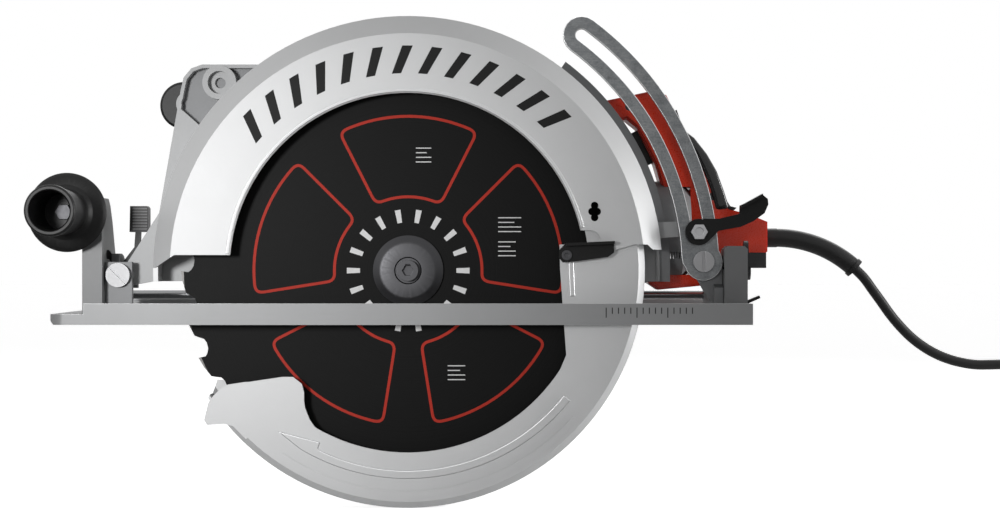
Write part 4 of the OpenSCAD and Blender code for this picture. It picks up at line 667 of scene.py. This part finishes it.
def make_details():
    lip = arc(LIP_IN, LIP_FROM, LIP_TO, LIP_STEPS) + arc(LIP_OUT, LIP_TO, LIP_FROM, LIP_STEPS)
    raised("guard_lip", "upper_guard", lip, UPPER_FACE_Y + SUNK, LIP_T, LIP_EDGE, edge_material=WORN_EDGE_AND_HIGHLIGHT)
    for name, y in THROAT_Y.items():
        raised(name, "lower_guard", flat(THROAT), y, THROAT_T, THROAT_EDGE)
    arrow = arc(ARROW_IN, ARROW_FROM, ARROW_IN_TO, ARROW_STEPS) + ARROW_HEAD
    arrow += arc(ARROW_OUT, ARROW_OUT_TO, ARROW_FROM, ARROW_STEPS)
    raised("guard_arrow", "lower_guard", arrow, LOWER_FACE_Y + SUNK, ARROW_T, ARROW_EDGE,
           edge_material=WORN_EDGE_AND_HIGHLIGHT)
    raised("guard_groove", "lower_guard", flat(GROOVE), LOWER_FACE_Y + SUNK, GROOVE_T, GROOVE_EDGE,
           edge_material=WORN_EDGE_AND_HIGHLIGHT)
    # A dark plate of painted shade in the pocket of the guard's ear
    raised("ear_painted_shade", "upper_guard", flat(EAR_SHADE) + EAR_RIM, EAR_SHADE_Y, EAR_SHADE_T,
           EAR_SHADE_EDGE, FINISHES["grey_casting"])
    raised("grip_pad", "grip_overmould", flat(GRIP_PAD_OUT + GRIP_PAD_IN), GRIP_PAD_Y, GRIP_PAD_W,
           GRIP_PAD_EDGE, GLOSSY_BLACK, rounds=5)


# Black slanted bars along the face of the upper guard
BAR_COUNT = 13
BAR_FROM = 137.0
BAR_TO = 46.0
BAR_INNER = 0.178
BAR_OUTER = 0.203
BAR_HALF_A = 1.35
BAR_SLANT = 1.6
INK_T = 0.0002


def make_guard_bars():
    bars = []
    for i in range(BAR_COUNT):
        middle = BAR_FROM + (BAR_TO - BAR_FROM) * i / (BAR_COUNT - 1)
        corners = spoke(BAR_INNER, BAR_OUTER, middle, BAR_HALF_A, BAR_SLANT)
        bars.append(plate_of(corners, UPPER_FACE_Y + INK_T / 2, INK_T))
    keep(joined(bars), "guard_bars", BODY_OF["upper_guard"], BLACK_INK)


# Printed outlines on the blade
FRAME_COUNT = 5
FRAME_INNER = 0.066
FRAME_OUTER = 0.142
FRAME_HALF_A = 27.0
FRAME_LINE = 0.0026
ARC_STEPS = 18
BEND = 0.009
BEND_STEPS = 6


def bend(start, corner, end):
    """Points along a rounded corner."""
    shares = [i / BEND_STEPS for i in range(BEND_STEPS + 1)]
    return [start * (1 - t) ** 2 + corner * 2 * t * (1 - t) + end * t * t for t in shares]


def sector(inner, outer, half, middle):
    """Outline of a ring's sector with round corners."""
    points = []
    for radius, side, other in ((outer, -1, outer - BEND), (inner, 1, inner + BEND)):
        trim = math.degrees(BEND / radius)
        first = middle + side * half
        last = middle - side * half
        near = around(radius, first - side * trim)
        far = around(radius, last + side * trim)
        points += bend(around(other, first), around(radius, first), near)
        sweep = 2 * half - 2 * trim
        for i in range(1, ARC_STEPS):
            points.append(around(radius, first - side * (trim + sweep * i / ARC_STEPS)))
        points += bend(far, around(radius, last), around(other, last))
    return points


def make_blade_print():
    frames = []
    for i in range(FRAME_COUNT):
        outline = sector(FRAME_INNER, FRAME_OUTER, FRAME_HALF_A, 90 + 360 / FRAME_COUNT * i)
        frames.append(plate_of(outline, BLADE_FACE_Y, INK_T, border=FRAME_LINE))
    keep(joined(frames), "blade_outlines", BODY_OF["blade"], RED_INK)


DASH_COUNT = 18
DASH_INNER = 0.044
DASH_OUTER = 0.056
DASH_HALF_A = 2.7


def make_blade_dashes():
    dashes = []
    for i in range(DASH_COUNT):
        corners = spoke(DASH_INNER, DASH_OUTER, 360 / DASH_COUNT * i, DASH_HALF_A)
        dashes.append(plate_of(corners, BLADE_FACE_Y, INK_T))
    keep(joined(dashes), "blade_dashes", BODY_OF["blade"], WHITE_INK)


# Groups of short printed lines on the blade, each by its upper left end and the length of its lines
LINE_GROUPS = [((0.007, 0.1605), 0.014), ((0.082, 0.097), 0.021), ((0.082, 0.075), 0.016),
               ((0.036, -0.038), 0.016)]
LINE_STEP = 0.0042
LINE_W = 0.0009
LINE_COUNT = 4
LINE_SHORT = 0.7


def make_blade_lines():
    lines = []
    for (x, z), length in LINE_GROUPS:
        for i in range(LINE_COUNT):
            run = length * (LINE_SHORT if i % 3 == 1 else 1)
            lines.append(plate_of(oblong(x, z - LINE_STEP * i, run, -LINE_W), BLADE_FACE_Y, INK_T))
    keep(joined(lines), "blade_lines", BODY_OF["blade"], WHITE_INK)


# Ruler marks on the near rail of the foot
MARK_COUNT = 15
MARK_FROM = 0.178
MARK_STEP = 0.0055
MARK_W = 0.0008
MARK_TOP = 0.0155
MARK_LONG = 0.009
MARK_SHORT = 0.0055
MARK_GROUP = 5


def make_ruler():
    marks = []
    for i in range(MARK_COUNT):
        length = MARK_SHORT if i % MARK_GROUP else MARK_LONG
        corners = oblong(MARK_FROM + MARK_STEP * i, MARK_TOP - length, MARK_W, length)
        marks.append(plate_of(corners, RAIL_Y + INK_T / 2, INK_T))
    keep(joined(marks), "foot_ruler", BODY_OF["foot_plate"], BLACK_INK)


# Studio
FILL_LEVEL = 0.13
FLOOR_LEVEL = 0.8
FLOOR_GAP = 0.0003
FLOOR_SIZE = 40
SPOT_R = 0.14
LAMP_TARGET = (0, -0.05, 0.03)


def make_world():
    world = bpy.data.worlds.new("studio")
    bpy.context.scene.world = world
    world.use_nodes = True
    tree = world.node_tree
    back = tree.nodes["Background"]
    back.inputs["Color"].default_value = (1, 1, 1, 1)
    path = tree.nodes.new("ShaderNodeLightPath")
    seen = path.outputs["Is Camera Ray"]
    for kind in ("Is Glossy Ray", "Is Transmission Ray"):
        either = tree.nodes.new("ShaderNodeMath")
        either.operation = "MAXIMUM"
        tree.links.new(seen, either.inputs[0])
        tree.links.new(path.outputs[kind], either.inputs[1])
        seen = either.outputs[0]
    level = tree.nodes.new("ShaderNodeMapRange")
    level.inputs["To Min"].default_value = FILL_LEVEL
    level.inputs["To Max"].default_value = 1.0
    tree.links.new(seen, level.inputs["Value"])
    tree.links.new(level.outputs["Result"], back.inputs["Strength"])


def hang(data, place, target, power):
    data.energy = power
    lamp = bpy.data.objects.new(data.name, data)
    lamp.location = place
    lamp.rotation_euler = (Vector(target) - Vector(place)).to_track_quat("-Z", "Y").to_euler()
    bpy.context.scene.collection.objects.link(lamp)


def make_panel(name, place, size, power):
    data = bpy.data.lights.new(name, "AREA")
    data.shape = "RECTANGLE"
    data.size, data.size_y = size
    hang(data, place, LAMP_TARGET, power)


def make_spot(name, place, target, power, cone):
    data = bpy.data.lights.new(name, "SPOT")
    data.shadow_soft_size = SPOT_R
    data.spot_size = math.radians(cone)
    data.spot_blend = 1.0
    hang(data, place, target, power)


def make_floor():
    bpy.ops.object.select_all(action="DESELECT")
    bpy.ops.mesh.primitive_plane_add(size=FLOOR_SIZE, location=(0, 0, FLOOR_Z - FLOOR_GAP))
    floor = bpy.context.object
    floor.name = "floor"
    finish = Finish("floor", roughness=0.9, colour=(0.86, 0.86, 0.86))
    seen = finish.node("ShaderNodeLightPath")
    finish.shader.inputs["Emission Color"].default_value = (1, 1, 1, 1)
    finish.set(Emission_Strength=seen * FLOOR_LEVEL)
    floor.data.materials.append(finish.material)


make_camera()
make_nodes()
make_details()
make_lead()
make_guard_bars()
make_blade_print()
make_blade_dashes()
make_blade_lines()
make_ruler()
make_floor()
make_world()
make_spot("key", (-0.65, -1.9, 0.2), (-0.14, -0.1, 0.08), 94, 25.5)
make_panel("side", (1.2, -0.15, 0.15), (0.12, 0.7), 9)
make_panel("back", (0.6, 1.6, 1.5), (2.0, 1.0), 19)
bpy.context.scene.view_settings.view_transform = "Standard"
